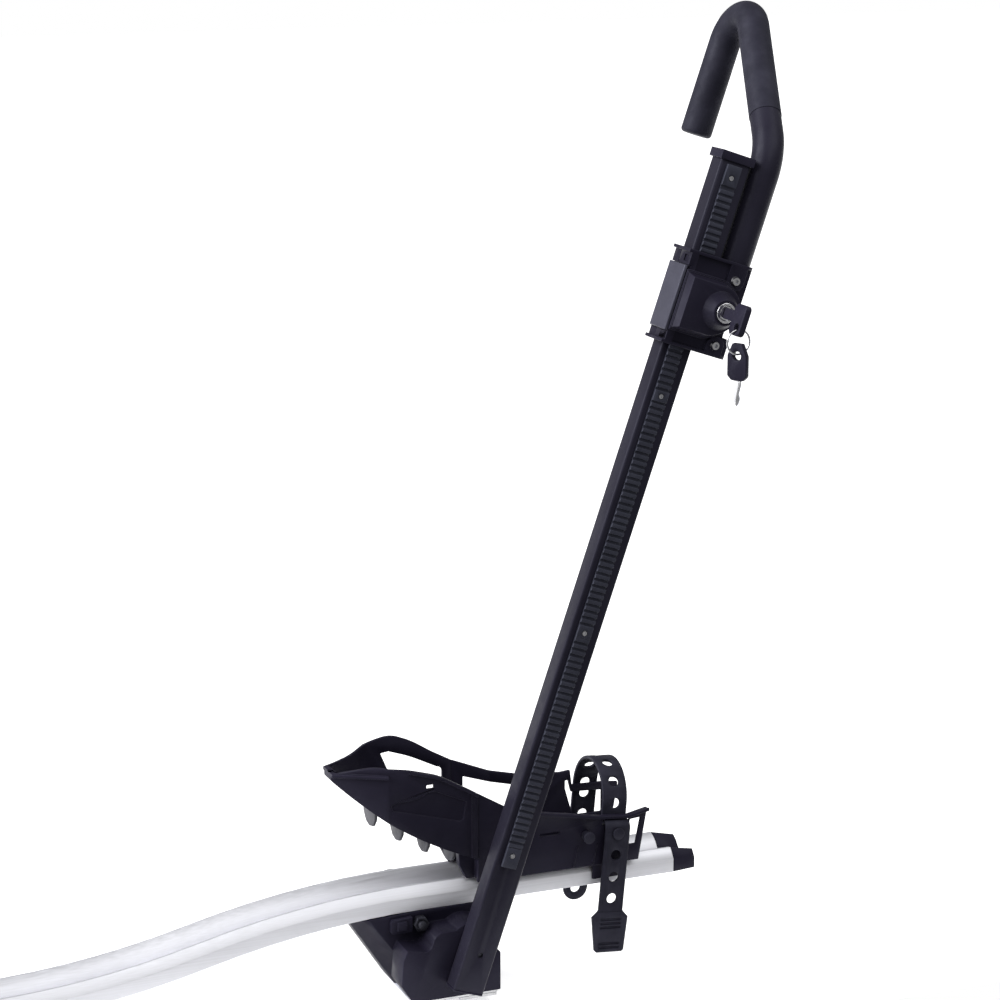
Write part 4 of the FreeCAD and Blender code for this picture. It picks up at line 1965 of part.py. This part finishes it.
strap_rivet = solid_group("strap_rivet", [
    post(Vector(tray_x.value, -tray_inner.value + 0.5, rivet_high.value), 2.5,
         outer_arch.value - tray_inner.value + 0.6, Vector(0, -1, 0)).fuse(
        post(Vector(tray_x.value, -outer_arch.value - 0.1, rivet_high.value), 4.5, 1.5,
             Vector(0, -1, 0)))
])

# Buckle on the far wall: a base with two ears, a pin and a lever that swings outwards.
ear_inner = half_ladder + 0.6
ear_outer = ear_inner + 2.4
base_low = sizes.buckle_high - 10
base_high = sizes.buckle_high + 10
buckle_base = new_body("buckle_base")
slab(buckle_base, "XZ", [box(tray_x - ear_outer, tray_x + ear_outer, base_low, base_high)],
     tray_outer + sizes.snug, strap_inside - sizes.snug)
for low, high in ((tray_x - ear_outer, tray_x - ear_inner),
                  (tray_x + ear_inner, tray_x + ear_outer)):
    slab(buckle_base, "YZ", [[
        (tray_outer + sizes.snug, base_low),
        (sizes.buckle_side, base_low),
        (sizes.buckle_side + 4, sizes.buckle_high - 3, 5),
        (sizes.buckle_side + 4, sizes.buckle_high + 3),
        (sizes.buckle_side, base_high),
        (tray_outer + sizes.snug, base_high),
    ]], low, high)
cut(buckle_base, "YZ", [(sizes.buckle_side, sizes.buckle_high,
                         sizes.buckle_pin_radius + sizes.snug)],
    tray_x - ear_outer - 1, tray_x + ear_outer + 1)

lever_half = ear_inner - sizes.slip
lever_reach = sizes.buckle_high + 34
buckle_lever = new_body("buckle_lever")
slab(buckle_lever, "YZ", [[
    (sizes.buckle_side - 1.5, sizes.buckle_high - 3.2),
    (sizes.buckle_side + 3.5, sizes.buckle_high - 2),
    (sizes.buckle_side + 3.5, sizes.buckle_high + 22),
    (sizes.buckle_side + 6, lever_reach),
    (sizes.buckle_side + 3.5, lever_reach + 1),
    (sizes.buckle_side + 0.5, sizes.buckle_high + 22),
    (sizes.buckle_side - 2, sizes.buckle_high + 5),
    (sizes.buckle_side - 3.2, sizes.buckle_high),
]], tray_x - lever_half, tray_x + lever_half)
cut(buckle_lever, "YZ", [(sizes.buckle_side, sizes.buckle_high,
                          sizes.buckle_pin_radius + sizes.snug)],
    tray_x - lever_half - 1, tray_x + lever_half + 1)
buckle_pin = solid_group("buckle_pin", [
    Part.makeCylinder(sizes.buckle_pin_radius.value, ear_outer.value * 2 + 1,
                      Vector(tray_x.value - ear_outer.value - 0.5, sizes.buckle_side.value,
                             sizes.buckle_high.value), Vector(1, 0, 0))
])

doc.recompute()
os.makedirs("parts", exist_ok=True)
for item in doc.Objects:
    if "Invalid" in item.State or "Error" in item.State:
        raise RuntimeError(f"{item.Name} did not build: {item.State}")
for piece in parts:
    if piece.Shape.isNull() or not piece.Shape.isValid():
        raise RuntimeError(f"{piece.Label} has no valid shape")
    piece.Shape.exportStep(f"parts/{piece.Label}.step")
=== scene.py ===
import json
import math

import bmesh
import bpy
from mathutils import Matrix, Vector


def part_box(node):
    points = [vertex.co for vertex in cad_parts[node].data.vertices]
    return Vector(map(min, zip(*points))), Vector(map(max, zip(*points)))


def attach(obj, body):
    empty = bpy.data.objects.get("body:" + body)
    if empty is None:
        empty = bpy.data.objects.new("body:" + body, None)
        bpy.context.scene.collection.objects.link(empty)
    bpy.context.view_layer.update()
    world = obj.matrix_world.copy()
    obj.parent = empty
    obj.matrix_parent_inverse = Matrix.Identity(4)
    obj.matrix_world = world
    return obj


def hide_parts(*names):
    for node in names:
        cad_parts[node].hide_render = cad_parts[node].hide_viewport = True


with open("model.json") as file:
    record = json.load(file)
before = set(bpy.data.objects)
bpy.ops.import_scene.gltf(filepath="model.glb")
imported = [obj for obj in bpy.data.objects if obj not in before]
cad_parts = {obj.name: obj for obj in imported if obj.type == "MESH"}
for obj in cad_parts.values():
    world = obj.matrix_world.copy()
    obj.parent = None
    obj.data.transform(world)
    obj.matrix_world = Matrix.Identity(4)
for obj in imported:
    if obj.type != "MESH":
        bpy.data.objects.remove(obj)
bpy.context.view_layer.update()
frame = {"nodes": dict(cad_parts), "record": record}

# Rails: two mirrored aluminium extrusions, bent down and back to level, then anodised. The die
# leaves faint lines along them, and the anodising is slightly cloudy.


class Wire:
    """A value in a node tree. Sums and products add Math nodes, and node() adds any other."""

    noise_low = 0.3
    noise_high = 0.7

    def __init__(self, tree, socket):
        self.tree = tree
        self.socket = socket

    def node(self, kind, settings, sockets, output=0):
        """Add a node: first its settings, then the values or links of its sockets."""
        added = self.tree.nodes.new(kind)
        for name, value in settings.items():
            setattr(added, name, value)
        for name, value in sockets.items():
            if isinstance(value, Wire):
                self.tree.links.new(value.socket, added.inputs[name])
            else:
                added.inputs[name].default_value = value
        return Wire(self.tree, added.outputs[output])

    def math(self, operation, first, second):
        return self.node("ShaderNodeMath", {"operation": operation}, {0: first, 1: second})

    def __add__(self, other):
        return self.math("ADD", self, other)

    def __mul__(self, other):
        return self.math("MULTIPLY", self, other)

    def fit(self, low, high, to_low, to_high):
        """Stretch the range from low to high over another one, and cut off what is outside."""
        return self.node("ShaderNodeMapRange", {}, {
            "Value": self, "From Min": low, "From Max": high,
            "To Min": to_low, "To Max": to_high})

    def spread(self, to_low, to_high):
        """Stretch the range where most of a noise lies over another one."""
        return self.fit(self.noise_low, self.noise_high, to_low, to_high)


class Finish:
    """The surface of a material slot, with patterns laid out in metres."""

    cool_shine = (0.82, 0.84, 1.0, 1.0)
    flat_ridge = 0.51
    # Edge sharpness at which the painted edge highlight is at its full strength.
    highlight_ridge = 0.6

    def __init__(self, slot, roughness, metallic=0.0, specular=0.5, name=None):
        self.slot = slot
        self.material = bpy.data.materials.new(name or slot)
        self.material.use_nodes = True
        tree = self.material.node_tree
        self.surface = tree.nodes["Principled BSDF"]
        self.surface.inputs["Roughness"].default_value = roughness
        self.surface.inputs["Metallic"].default_value = metallic
        self.surface.inputs["Specular IOR Level"].default_value = specular
        self.surface.inputs["Specular Tint"].default_value = self.cool_shine
        coordinates = tree.nodes.new("ShaderNodeTexCoord")
        self.place = Wire(tree, coordinates.outputs["Object"])

    def grain(self, size, stretch=(1, 1, 1), detail=3.0):
        """Noise of a size, drawn out along each axis by a factor."""
        scale = [1 / (size * factor) for factor in stretch]
        spot = self.place.node("ShaderNodeMapping", {}, {"Vector": self.place, "Scale": scale})
        return spot.node("ShaderNodeTexNoise", {}, {
            "Vector": spot, "Scale": 1.0, "Detail": detail})

    def edges(self, strength):
        """Painted highlight on convex edges: how sharply the surface turns outwards, 1 on a sharp
        edge, 0 on a flat.
        """
        ridge = self.place.node("ShaderNodeNewGeometry", {}, {}, "Pointiness")
        return ridge.fit(self.flat_ridge, self.highlight_ridge, 0.0, strength)

    def tints(self, factor, low, high):
        """Colour the surface from one tint to another."""
        mixed = factor.node("ShaderNodeMix", {"data_type": "RGBA"}, {
            "Factor": factor, 6: (*low, 1.0), 7: (*high, 1.0)}, 2)
        factor.tree.links.new(mixed.socket, self.surface.inputs["Base Color"])

    def shine(self, roughness):
        roughness.tree.links.new(roughness.socket, self.surface.inputs["Roughness"])

    def relief(self, height, depth, strength):
        """Raise the surface by a depth in metres where the height is 1."""
        bump = height.node("ShaderNodeBump", {}, {
            "Height": height, "Distance": depth, "Strength": strength})
        height.tree.links.new(bump.socket, self.surface.inputs["Normal"])


body_of = {
    node: body
    for body, nodes in frame["record"]["behaviour"]["bodies"].items()
    for node in nodes
}


def put(piece, finish, body, *stands_for):
    """Finish a piece, hang it on its body and let it stand for parts of the frame."""
    piece.data.materials.clear()
    piece.data.materials.append(finish.material)
    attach(piece, body)
    if stands_for:
        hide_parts(*stands_for)


def flattened(holder):
    """The plain mesh that an object's modifiers make."""
    graph = bpy.context.evaluated_depsgraph_get()
    return bpy.data.meshes.new_from_object(holder.evaluated_get(graph), depsgraph=graph)


def swept_corners(shape, reach):
    """Draw the corners of long outlines out into curves that start a reach from each corner."""
    crosswise = 0.98
    slightest_turn = math.radians(4)
    sharpest_turn = math.radians(60)
    least_run = reach * 2.05
    corners = []
    for edge in shape.edges:
        across = (edge.verts[1].co - edge.verts[0].co).normalized()
        if len(edge.link_faces) != 2 or abs(across.y) < crosswise:
            continue
        turn = edge.calc_face_angle(0)
        runs = [face.calc_area() / edge.calc_length() for face in edge.link_faces]
        if slightest_turn < turn < sharpest_turn and min(runs) > least_run:
            corners.append(edge)
    bmesh.ops.bevel(shape, geom=corners, offset=reach, offset_type="OFFSET", segments=5,
                    profile=0.5, affect="EDGES", clamp_overlap=True)


def softened(finish, width, *names, smooth_below=40, sweep=0.0):
    """Stand in for moulded or cast parts by copies with the small radius of a real edge."""
    same_place = 0.000002
    level_turn = math.radians(0.6)
    sharp_turn = math.radians(smooth_below)
    for name in names:
        shape = bmesh.new()
        shape.from_mesh(frame["nodes"][name].data)
        bmesh.ops.remove_doubles(shape, verts=shape.verts, dist=same_place)
        bmesh.ops.dissolve_limit(shape, angle_limit=level_turn,
                                 verts=shape.verts, edges=shape.edges)
        if sweep:
            swept_corners(shape, sweep)
        mesh = bpy.data.meshes.new(name + "_soft")
        shape.to_mesh(mesh)
        shape.free()
        for face in mesh.polygons:
            face.use_smooth = True
        holder = bpy.data.objects.new(name + "_holder", mesh)
        bpy.context.scene.collection.objects.link(holder)
        bevel = holder.modifiers.new("edge", "BEVEL")
        bevel.width = width
        bevel.segments = 2
        bevel.limit_method = "ANGLE"
        bevel.angle_limit = sharp_turn
        bevel.use_clamp_overlap = False
        bevel.harden_normals = True
        soft = flattened(holder)
        bpy.data.objects.remove(holder)
        soft.set_sharp_from_angle(angle=sharp_turn)
        piece = bpy.data.objects.new(name + "_piece", soft)
        bpy.context.scene.collection.objects.link(piece)
        put(piece, finish, body_of[name], name)


aluminium = Finish("aluminium", 0.34, metallic=1.0)
die_lines = aluminium.grain(0.0011, stretch=(150, 1, 1))
cloud = aluminium.grain(0.05)
aluminium.tints(die_lines.spread(0.0, 0.5) + cloud * 0.5,
                (0.72, 0.722, 0.755), (0.88, 0.882, 0.915))
aluminium.shine(die_lines.spread(0.56, 0.70))
aluminium.relief(die_lines, 0.00008, 0.35)
softened(aluminium, 0.0004, "near_rail", "far_rail", smooth_below=20)

# End caps: black plugs that close both ends of each rail, moulded in a slightly eroded tool
# and pushed into the extrusion.

plastic = Finish("black_plastic", 0.45, specular=0.12)
plastic_cloud = plastic.grain(0.06, detail=4.0)
# Cloudy tone at random, plus a painted highlight that lightens the convex edges.
plastic.tints(plastic_cloud.spread(0.0, 0.7) + plastic.edges(0.5),
              (0.0095, 0.0082, 0.0165), (0.0200, 0.0180, 0.0320))
plastic.shine(plastic.grain(0.012).spread(0.36, 0.52))
plastic.relief(plastic.grain(0.0008, detail=2.0), 0.0001, 0.5)
softened(plastic, 0.0008, "near_front_cap", "far_front_cap", "near_rear_cap", "far_rear_cap")

# Front foot: one deep moulding that carries the rails, the mast's boss and the clamp. Steel
# plates under it meet the roof bar, and T-bolts hold them in the bar's slot.

softened(plastic, 0.0008, "front_foot", "clamp_knob")
softened(plastic, 0.0005, "clamp_block")

steel = Finish("plate_steel", 0.3, metallic=1.0)
rolled = steel.grain(0.002, stretch=(1, 14, 1))
steel.tints(steel.grain(0.01).spread(0.0, 1.0), (0.46, 0.46, 0.48), (0.62, 0.62, 0.63))
steel.shine(rolled.spread(0.22, 0.42))
steel.relief(rolled, 0.00006, 0.4)
softened(steel, 0.0003, "upper_foot_plate", "lower_foot_plate", "front_t_bolts")

dark_steel = Finish("plate_steel", 0.4, metallic=0.6, name="blackened_steel")
dark_steel.tints(dark_steel.grain(0.006).spread(0.0, 1.0),
                 (0.020, 0.020, 0.028), (0.045, 0.045, 0.056))
dark_steel.shine(dark_steel.grain(0.003).spread(0.34, 0.50))
dark_steel.relief(dark_steel.grain(0.001), 0.00006, 0.4)
softened(dark_steel, 0.0003, "clamp_nut", "clamp_rod")

# Mast: a rectangular aluminium tube, painted black, with a plug at each end. It folds about a
# pin in the foot's boss, with a bush in the tube and a washer against the boss.

paint = Finish("mast_paint", 0.4, specular=0.12)
# Cloudy tone at random, plus a painted highlight that lightens the convex edges.
paint.tints(paint.grain(0.08).spread(0.0, 0.7) + paint.edges(0.4),
            (0.0110, 0.0100, 0.0180), (0.0220, 0.0205, 0.0330))
paint.shine(paint.grain(0.01).spread(0.34, 0.50))
paint.relief(paint.grain(0.0016, detail=2.0), 0.00012, 0.45)
softened(paint, 0.0006, "mast_tube")
softened(plastic, 0.0006, "mast_cap", "mast_foot")

grey = Finish("grey_plastic", 0.55, specular=0.3)
grey.tints(grey.grain(0.02, detail=4.0).spread(0.0, 1.0),
           (0.052, 0.051, 0.057), (0.074, 0.073, 0.081))
grey.shine(grey.grain(0.005).spread(0.48, 0.64))
grey.relief(grey.grain(0.0009, detail=2.0), 0.00012, 0.6)
softened(grey, 0.0003, "pivot_washer", "mast_bush")
softened(dark_steel, 0.0003, "pivot_pin")

# Rack: a toothed strip screwed to the near face of the mast. Each screw is a small bright
# head with a hexagon socket, sunk in a plain pad between the teeth.

rack = Finish("rack_metal", 0.5, metallic=0.0, specular=0.4)
# Tone that differs at random, plus a painted highlight that lightens the convex edges.
rack.tints(rack.grain(0.015).spread(0.0, 0.6) + rack.edges(0.6),
           (0.0130, 0.0138, 0.0230), (0.0320, 0.0335, 0.0500))
rack.shine(rack.grain(0.004).spread(0.42, 0.60))
rack.relief(rack.grain(0.0012, detail=2.0), 0.0001, 0.5)
softened(rack, 0.0003, "rack_strip")

joints = {joint["name"]: joint for joint in frame["record"]["behaviour"]["joints"]}
mast_pivot = Vector(joints["mast_fold"]["pos_m"])
up_the_mast = Vector(joints["hook_slide"]["axis"])
mast_lean = math.atan2(up_the_mast.x, up_the_mast.z)


def on_mast(across, deep, along):
    """A place given from the mast's pivot: forwards, away from the viewer and up the tube."""
    return mast_pivot + Vector((
        across * math.cos(mast_lean) + along * math.sin(mast_lean),
        deep,
        along * math.cos(mast_lean) - across * math.sin(mast_lean)))


def socket_screws(name, places, head, tall, shank, finish, body, *stands_for):
    """Screws with tapered heads and hexagon sockets that face the near side, from a node tree."""
    crown_share = 0.8
    socket_share = 0.48
    socket_floor = 0.3
    shank_share = 0.55
    spots = bpy.data.meshes.new(name + "_spots")
    spots.from_pydata(places, [], [])
    holder = bpy.data.objects.new(name + "_holder", spots)
    bpy.context.scene.collection.objects.link(holder)
    tree = bpy.data.node_groups.new(name, "GeometryNodeTree")
    tree.interface.new_socket("Places", in_out="INPUT", socket_type="NodeSocketGeometry")
    given = {"Head": head, "Tall": tall, "Shank": shank}
    named = {
        label: tree.interface.new_socket(label, in_out="INPUT", socket_type="NodeSocketFloat")
        for label in given
    }
    tree.interface.new_socket("Screws", in_out="OUTPUT", socket_type="NodeSocketGeometry")
    entry = tree.nodes.new("NodeGroupInput")
    size = {label: Wire(tree, entry.outputs[label]) for label in given}
    spots_in = Wire(tree, entry.outputs["Places"])

    def bar(sides, foot, top, depth, start):
        """A round or hexagonal bar, or a cone's stump, that starts at a height."""
        solid = spots_in.node("GeometryNodeMeshCone", {}, {
            "Vertices": sides, "Radius Top": top, "Radius Bottom": foot, "Depth": depth})
        lift = spots_in.node("ShaderNodeCombineXYZ", {}, {"Z": start})
        return spots_in.node("GeometryNodeTransform", {}, {
            "Geometry": solid, "Translation": lift})

    stub = bar(32, size["Head"], size["Head"] * crown_share, size["Tall"], 0.0)
    flats = size["Head"] * socket_share
    socket = bar(6, flats, flats, size["Tall"], size["Tall"] * socket_floor)
    drilled = spots_in.node("GeometryNodeMeshBoolean", {"operation": "DIFFERENCE"}, {
        "Mesh 1": stub, "Mesh 2": socket})
    girth = size["Head"] * shank_share
    pin = bar(24, girth, girth, size["Shank"], size["Shank"] * -1)
    both = tree.nodes.new("GeometryNodeJoinGeometry")
    for solid in (drilled, pin):
        tree.links.new(solid.socket, both.inputs["Geometry"])
    turned = spots_in.node("GeometryNodeInstanceOnPoints", {}, {
        "Points": spots_in, "Instance": Wire(tree, both.outputs["Geometry"]),
        "Rotation": (math.radians(90), 0.0, 0.0)})
    whole = turned.node("GeometryNodeRealizeInstances", {}, {"Geometry": turned})
    plated = whole.node("GeometryNodeSetMaterial", {}, {
        "Geometry": whole, "Material": finish.material})
    made = tree.nodes.new("NodeGroupOutput")
    tree.links.new(plated.socket, made.inputs["Screws"])
    modifier = holder.modifiers.new("screws", "NODES")
    modifier.node_group = tree
    for label, amount in given.items():
        modifier[named[label].identifier] = amount
    mesh = flattened(holder)
    bpy.data.objects.remove(holder)
    for face in mesh.polygons:
        face.use_smooth = True
    mesh.set_sharp_from_angle(angle=math.radians(30))
    piece = bpy.data.objects.new(name, mesh)
    bpy.context.scene.collection.objects.link(piece)
    put(piece, finish, body, *stands_for)


rack_screw_across = -0.0015
rack_screw_seat = -0.0121
rack_screws_up = (0.0975, 0.312, 0.536, 0.7385)
rack_screw_head = 0.0026
rack_screw_tall = 0.0011
rack_screw_shank = 0.001
socket_screws("rack_head_screws",
              [on_mast(rack_screw_across, rack_screw_seat, up) for up in rack_screws_up],
              rack_screw_head, rack_screw_tall, rack_screw_shank, steel, "mast", "rack_screws")

# Hook: a painted tube, bent at the elbow and at the crook, under a rubber sleeve that covers
# everything above the elbow. The lower end is clamped in the slider.

hook_across = 0.0342
hook_foot = 0.622
hook_elbow = 0.7715
hook_elbow_bend = 0.0545
hook_lean = math.radians(44.4)
hook_crook_bend = 0.0268
hook_reach = 0.153
hook_tip = 0.772
tube_radius = 0.0143
sleeve_start = 0.020
sleeve_radius = 0.01480
elbow_reach = hook_elbow_bend * math.tan(hook_lean / 2)
crook_reach = hook_crook_bend / math.tan(hook_lean / 2)
crook_corner = hook_elbow + hook_reach / math.tan(hook_lean)


def bend(centre_deep, centre_up, radius, start, end, steps=24):
    """Points on a bend in the hook's plane, between two angles from the far direction."""
    return [
        (centre_deep + radius * math.cos(start + (end - start) * step / steps),
         centre_up + radius * math.sin(start + (end - start) * step / steps))
        for step in range(steps + 1)
    ]


elbow = bend(hook_elbow_bend, hook_elbow - elbow_reach, hook_elbow_bend,
             math.pi, math.pi - hook_lean)
crook = bend(hook_reach - hook_crook_bend, crook_corner - crook_reach, hook_crook_bend,
             math.pi - hook_lean, 0.0)
run_start = elbow_reach + sleeve_start
sleeve_foot = (run_start * math.sin(hook_lean), hook_elbow + run_start * math.cos(hook_lean))
tube_line = [(0.0, hook_foot)] + elbow + [sleeve_foot]
sleeve_end = 0.0035
end_steps = 5
rounding = [math.radians(90) * step / end_steps for step in range(end_steps + 1)]
sleeve_line = [sleeve_foot] + crook + [
    (hook_reach, hook_tip + sleeve_end * (1 - math.sin(turn))) for turn in rounding]
sleeve_girth = [1.0] * (len(crook) + 1) + [
    1 - sleeve_end * (1 - math.cos(turn)) / sleeve_radius for turn in rounding]


def tube_on(name, line, girth, radius, finish, *stands_for):
    """A round tube along a line in the hook's plane, as wide at each point as its girth."""
    route = bpy.data.meshes.new(name + "_line")
    places = [on_mast(hook_across, deep, up) for deep, up in line]
    route.from_pydata(places, [(step, step + 1) for step in range(len(places) - 1)], [])
    route.attributes.new("girth", "FLOAT", "POINT").data.foreach_set("value", girth)
    holder = bpy.data.objects.new(name + "_holder", route)
    bpy.context.scene.collection.objects.link(holder)
    tree = bpy.data.node_groups.new(name, "GeometryNodeTree")
    tree.interface.new_socket("Line", in_out="INPUT", socket_type="NodeSocketGeometry")
    size = tree.interface.new_socket("Radius", in_out="INPUT", socket_type="NodeSocketFloat")
    tree.interface.new_socket("Tube", in_out="OUTPUT", socket_type="NodeSocketGeometry")
    given = tree.nodes.new("NodeGroupInput")
    line_in = Wire(tree, given.outputs["Line"])
    curve = line_in.node("GeometryNodeMeshToCurve", {}, {"Mesh": line_in})
    ring = line_in.node("GeometryNodeCurvePrimitiveCircle", {}, {
        "Resolution": 48, "Radius": Wire(tree, given.outputs["Radius"])})
    width = line_in.node("GeometryNodeInputNamedAttribute", {"data_type": "FLOAT"}, {
        "Name": "girth"})
    skin = line_in.node("GeometryNodeCurveToMesh", {}, {
        "Curve": curve, "Profile Curve": ring, "Scale": width, "Fill Caps": True})
    smooth = line_in.node("GeometryNodeSetShadeSmooth", {}, {"Geometry": skin})
    whole = line_in.node("GeometryNodeRealizeInstances", {}, {"Geometry": smooth})
    painted = line_in.node("GeometryNodeSetMaterial", {}, {
        "Geometry": whole, "Material": finish.material})
    made = tree.nodes.new("NodeGroupOutput")
    tree.links.new(painted.socket, made.inputs["Tube"])
    modifier = holder.modifiers.new("tube", "NODES")
    modifier.node_group = tree
    modifier[size.identifier] = radius
    mesh = flattened(holder)
    bpy.data.objects.remove(holder)
    mesh.set_sharp_from_angle(angle=math.radians(40))
    piece = bpy.data.objects.new(name, mesh)
    bpy.context.scene.collection.objects.link(piece)
    put(piece, finish, "hook", *stands_for)


tube_on("hook_bent_tube", tube_line, [1.0] * len(tube_line), tube_radius, paint, "hook_tube")

rubber = Finish("black_rubber", 0.6, specular=0.18)
# Blotchy tone at random, plus a painted highlight that lightens the convex edges.
rubber.tints(rubber.grain(0.02, detail=5.0).fit(0.4, 0.75, 0.0, 0.8) + rubber.edges(0.4),
             (0.0130, 0.0125, 0.0210), (0.0270, 0.0262, 0.0400))
rubber.shine(rubber.grain(0.006).spread(0.50, 0.68))
rubber.relief(rubber.grain(0.0012), 0.00012, 0.5)
tube_on("hook_rubber_sleeve", sleeve_line, sleeve_girth, sleeve_radius, rubber, "hook_sleeve")

# Slider: two moulded halves clamped round the mast and the hook tube by two bright screws. The
# front half carries the lock under a raised cover, the pawl, and the lever on its rear side.

softened(plastic, 0.0005, "slider_front", "slider_back")
softened(steel, 0.0003, "lever_pin")
slider_screw_across = 0.029
slider_ear = -0.022
slider_screws_up = (0.5935, 0.6533)
slider_screw_head = 0.0043
slider_screw_tall = 0.0030
slider_screw_shank = 0.031
socket_screws("slider_head_screws",
              [on_mast(slider_screw_across, slider_ear, up) for up in slider_screws_up],
              slider_screw_head, slider_screw_tall, slider_screw_shank, steel, "hook",
              "slider_screws")
softened(rack, 0.0003, "pawl")

lever_plastic = Finish("lever_plastic", 0.48, specular=0.35)
# Cloudy tone at random, plus a painted highlight that lightens the convex edges.
lever_plastic.tints(lever_plastic.grain(0.02).spread(0.0, 0.7)
                    + lever_plastic.edges(0.4),
                    (0.0360, 0.0355, 0.0520), (0.0500, 0.0490, 0.0700))
lever_plastic.shine(lever_plastic.grain(0.006).spread(0.40, 0.54))
lever_plastic.relief(lever_plastic.grain(0.001, detail=2.0), 0.0001, 0.5)
softened(lever_plastic, 0.0005, "release_lever")

# Lock: a chromed barrel with a turning plug. One key is in it, and a wire ring through its
# head holds the spare. The heads are black plastic moulded over the blades.

chrome = Finish("lock_chrome", 0.14, metallic=1.0)
chrome.tints(chrome.grain(0.006).spread(0.0, 1.0), (0.60, 0.60, 0.62), (0.74, 0.74, 0.76))
chrome.shine(chrome.grain(0.001, stretch=(6, 1, 1), detail=4.0).fit(0.35, 0.75, 0.10, 0.26))
chrome.relief(chrome.grain(0.0008, stretch=(8, 1, 1)), 0.00003, 0.4)
softened(chrome, 0.0004, "lock_barrel", "lock_plug")
softened(chrome, 0.0001, "key_blade", "spare_key_blade")
softened(plastic, 0.0009, "key_head", "spare_key_head")

ring_low, ring_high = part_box("key_ring")
ring_middle = (Vector(ring_low) + Vector(ring_high)) / 2
ring_wire = 0.0009
ring_turn = (ring_high[0] - ring_low[0]) / 2 - ring_wire
bpy.ops.mesh.primitive_torus_add(
    align="WORLD", location=(0, 0, 0), major_radius=ring_turn, minor_radius=ring_wire,
    major_segments=64, minor_segments=12)
key_ring = bpy.context.object
key_ring.name = "wire_ring"
key_ring.data.transform(Matrix.Translation(ring_middle)
                        @ Matrix.Rotation(math.radians(90), 4, "X"))
for face in key_ring.data.polygons:
    face.use_smooth = True
put(key_ring, chrome, body_of["key_ring"], "key_ring")

# Wheel cradle: a wing behind and a block in front, moulded apart and joined at a seam. A grey
# pad lies on the wing's floor, and its cross ribs hang through slots in it.

softened(plastic, 0.0008, "cradle_wing", "cradle_block", sweep=0.007)
softened(grey, 0.0006, "wheel_pad")

# Wheel strap: one rubber band with a row of holes. It hangs free outside the far wall, loops
# over the wheel's place, leaves through a slot and is hooked over a peg. Its tab is grooved.

softened(rubber, 0.0008, "wheel_strap", "strap_pegs")

# Rear wheel holder: a short tray astride the rails, held by hooks under them, with a ladder
# strap over the tyre and a lever buckle on its far wall that draws it tight.

softened(plastic, 0.0008, "rear_tray")
softened(lever_plastic, 0.0003, "ladder_strap")
softened(plastic, 0.0004, "buckle_base", "buckle_lever")
softened(steel, 0.0002, "buckle_pin", "strap_rivet")

# Rear foot: it slides along the rails on bolts whose heads hang in their slots, and clamps the
# second roof bar with plates and T-bolts. A lobed knob turns on the end of the far bolt.

softened(plastic, 0.0008, "rear_foot", "rear_knob")
softened(steel, 0.0003, "rear_upper_plate", "rear_lower_plate", "rail_bolts", "rear_nuts",
         "rear_near_bolt", "rear_far_bolt")

# Studio: a white floor that ends just in front of the part, so that little light comes up to the
# near faces, a soft sun from the left, a large lamp in front and above, and a white sky.

floor_low = -0.0075
floor_reach = 12.0
floor_front = -0.19
floor_glow = 0.5
floor_mesh = bpy.data.meshes.new("floor")
floor_mesh.from_pydata([
    (-floor_reach, floor_front, floor_low),
    (floor_reach, floor_front, floor_low),
    (floor_reach, floor_reach, floor_low),
    (-floor_reach, floor_reach, floor_low),
], [], [(0, 1, 2, 3)])
floor = bpy.data.objects.new("floor", floor_mesh)
bpy.context.scene.collection.objects.link(floor)
floor_paint = Finish("floor", 0.95, specular=0.0)
floor_paint.tints(floor_paint.grain(0.6).spread(0.0, 1.0),
                  (0.95, 0.95, 0.95), (0.96, 0.96, 0.96))
floor_paint.surface.inputs["Emission Color"].default_value = (1.0, 1.0, 1.0, 1.0)
floor_paint.surface.inputs["Emission Strength"].default_value = floor_glow
floor_mesh.materials.append(floor_paint.material)


def lamp(name, kind, place, target, power):
    """A studio light that faces a point."""
    light = bpy.data.lights.new(name, kind)
    light.energy = power
    holder = bpy.data.objects.new(name, light)
    holder.location = place
    direction = Vector(target) - Vector(place)
    holder.rotation_euler = direction.to_track_quat("-Z", "Y").to_euler()
    bpy.context.scene.collection.objects.link(holder)
    return light


sun_strength = 4.2
sun_softness = math.radians(50)
lamp_power = 32
side_light = lamp("side_light", "SUN", (-3.0, 0.4, 2.2), (0.0, 0.0, 0.3), sun_strength)
side_light.angle = sun_softness
rail_light = lamp("rail_light", "AREA", (0.9, -1.3, 2.4), (0.1, 0.0, 0.1), lamp_power)
rail_light.shape = "RECTANGLE"
rail_light.size = 2.6
rail_light.size_y = 1.6

sky = bpy.data.worlds.new("studio")
sky.use_nodes = True
sky_tree = sky.node_tree
lit = Wire(sky_tree, sky_tree.nodes.new("ShaderNodeLightPath").outputs["Is Camera Ray"])
background = sky_tree.nodes["Background"]
background.inputs["Color"].default_value = (1.0, 1.0, 1.0, 1.0)
sky_light = 0.33
brightness = lit.fit(0.0, 1.0, sky_light, 1.0)
sky_tree.links.new(brightness.socket, background.inputs["Strength"])
bpy.context.scene.world = sky
bpy.context.scene.view_settings.view_transform = "Standard"

# Camera: the photograph's, on the near side and somewhat to the rear, looking slightly down.

view_middle = Vector((0.0576, -0.0294, 0.4647))
view_back = Vector((-0.3641, -0.9012, 0.2351)).normalized()
view_far = 2.52
camera_data = bpy.data.cameras.new("camera")
camera_data.lens = 100.8
camera_data.sensor_width = 36.0
camera = bpy.data.objects.new("camera", camera_data)
camera.location = view_middle + view_back * view_far
camera.rotation_euler = (-view_back).to_track_quat("-Z", "Y").to_euler()
bpy.context.scene.collection.objects.link(camera)
bpy.context.scene.camera = camera
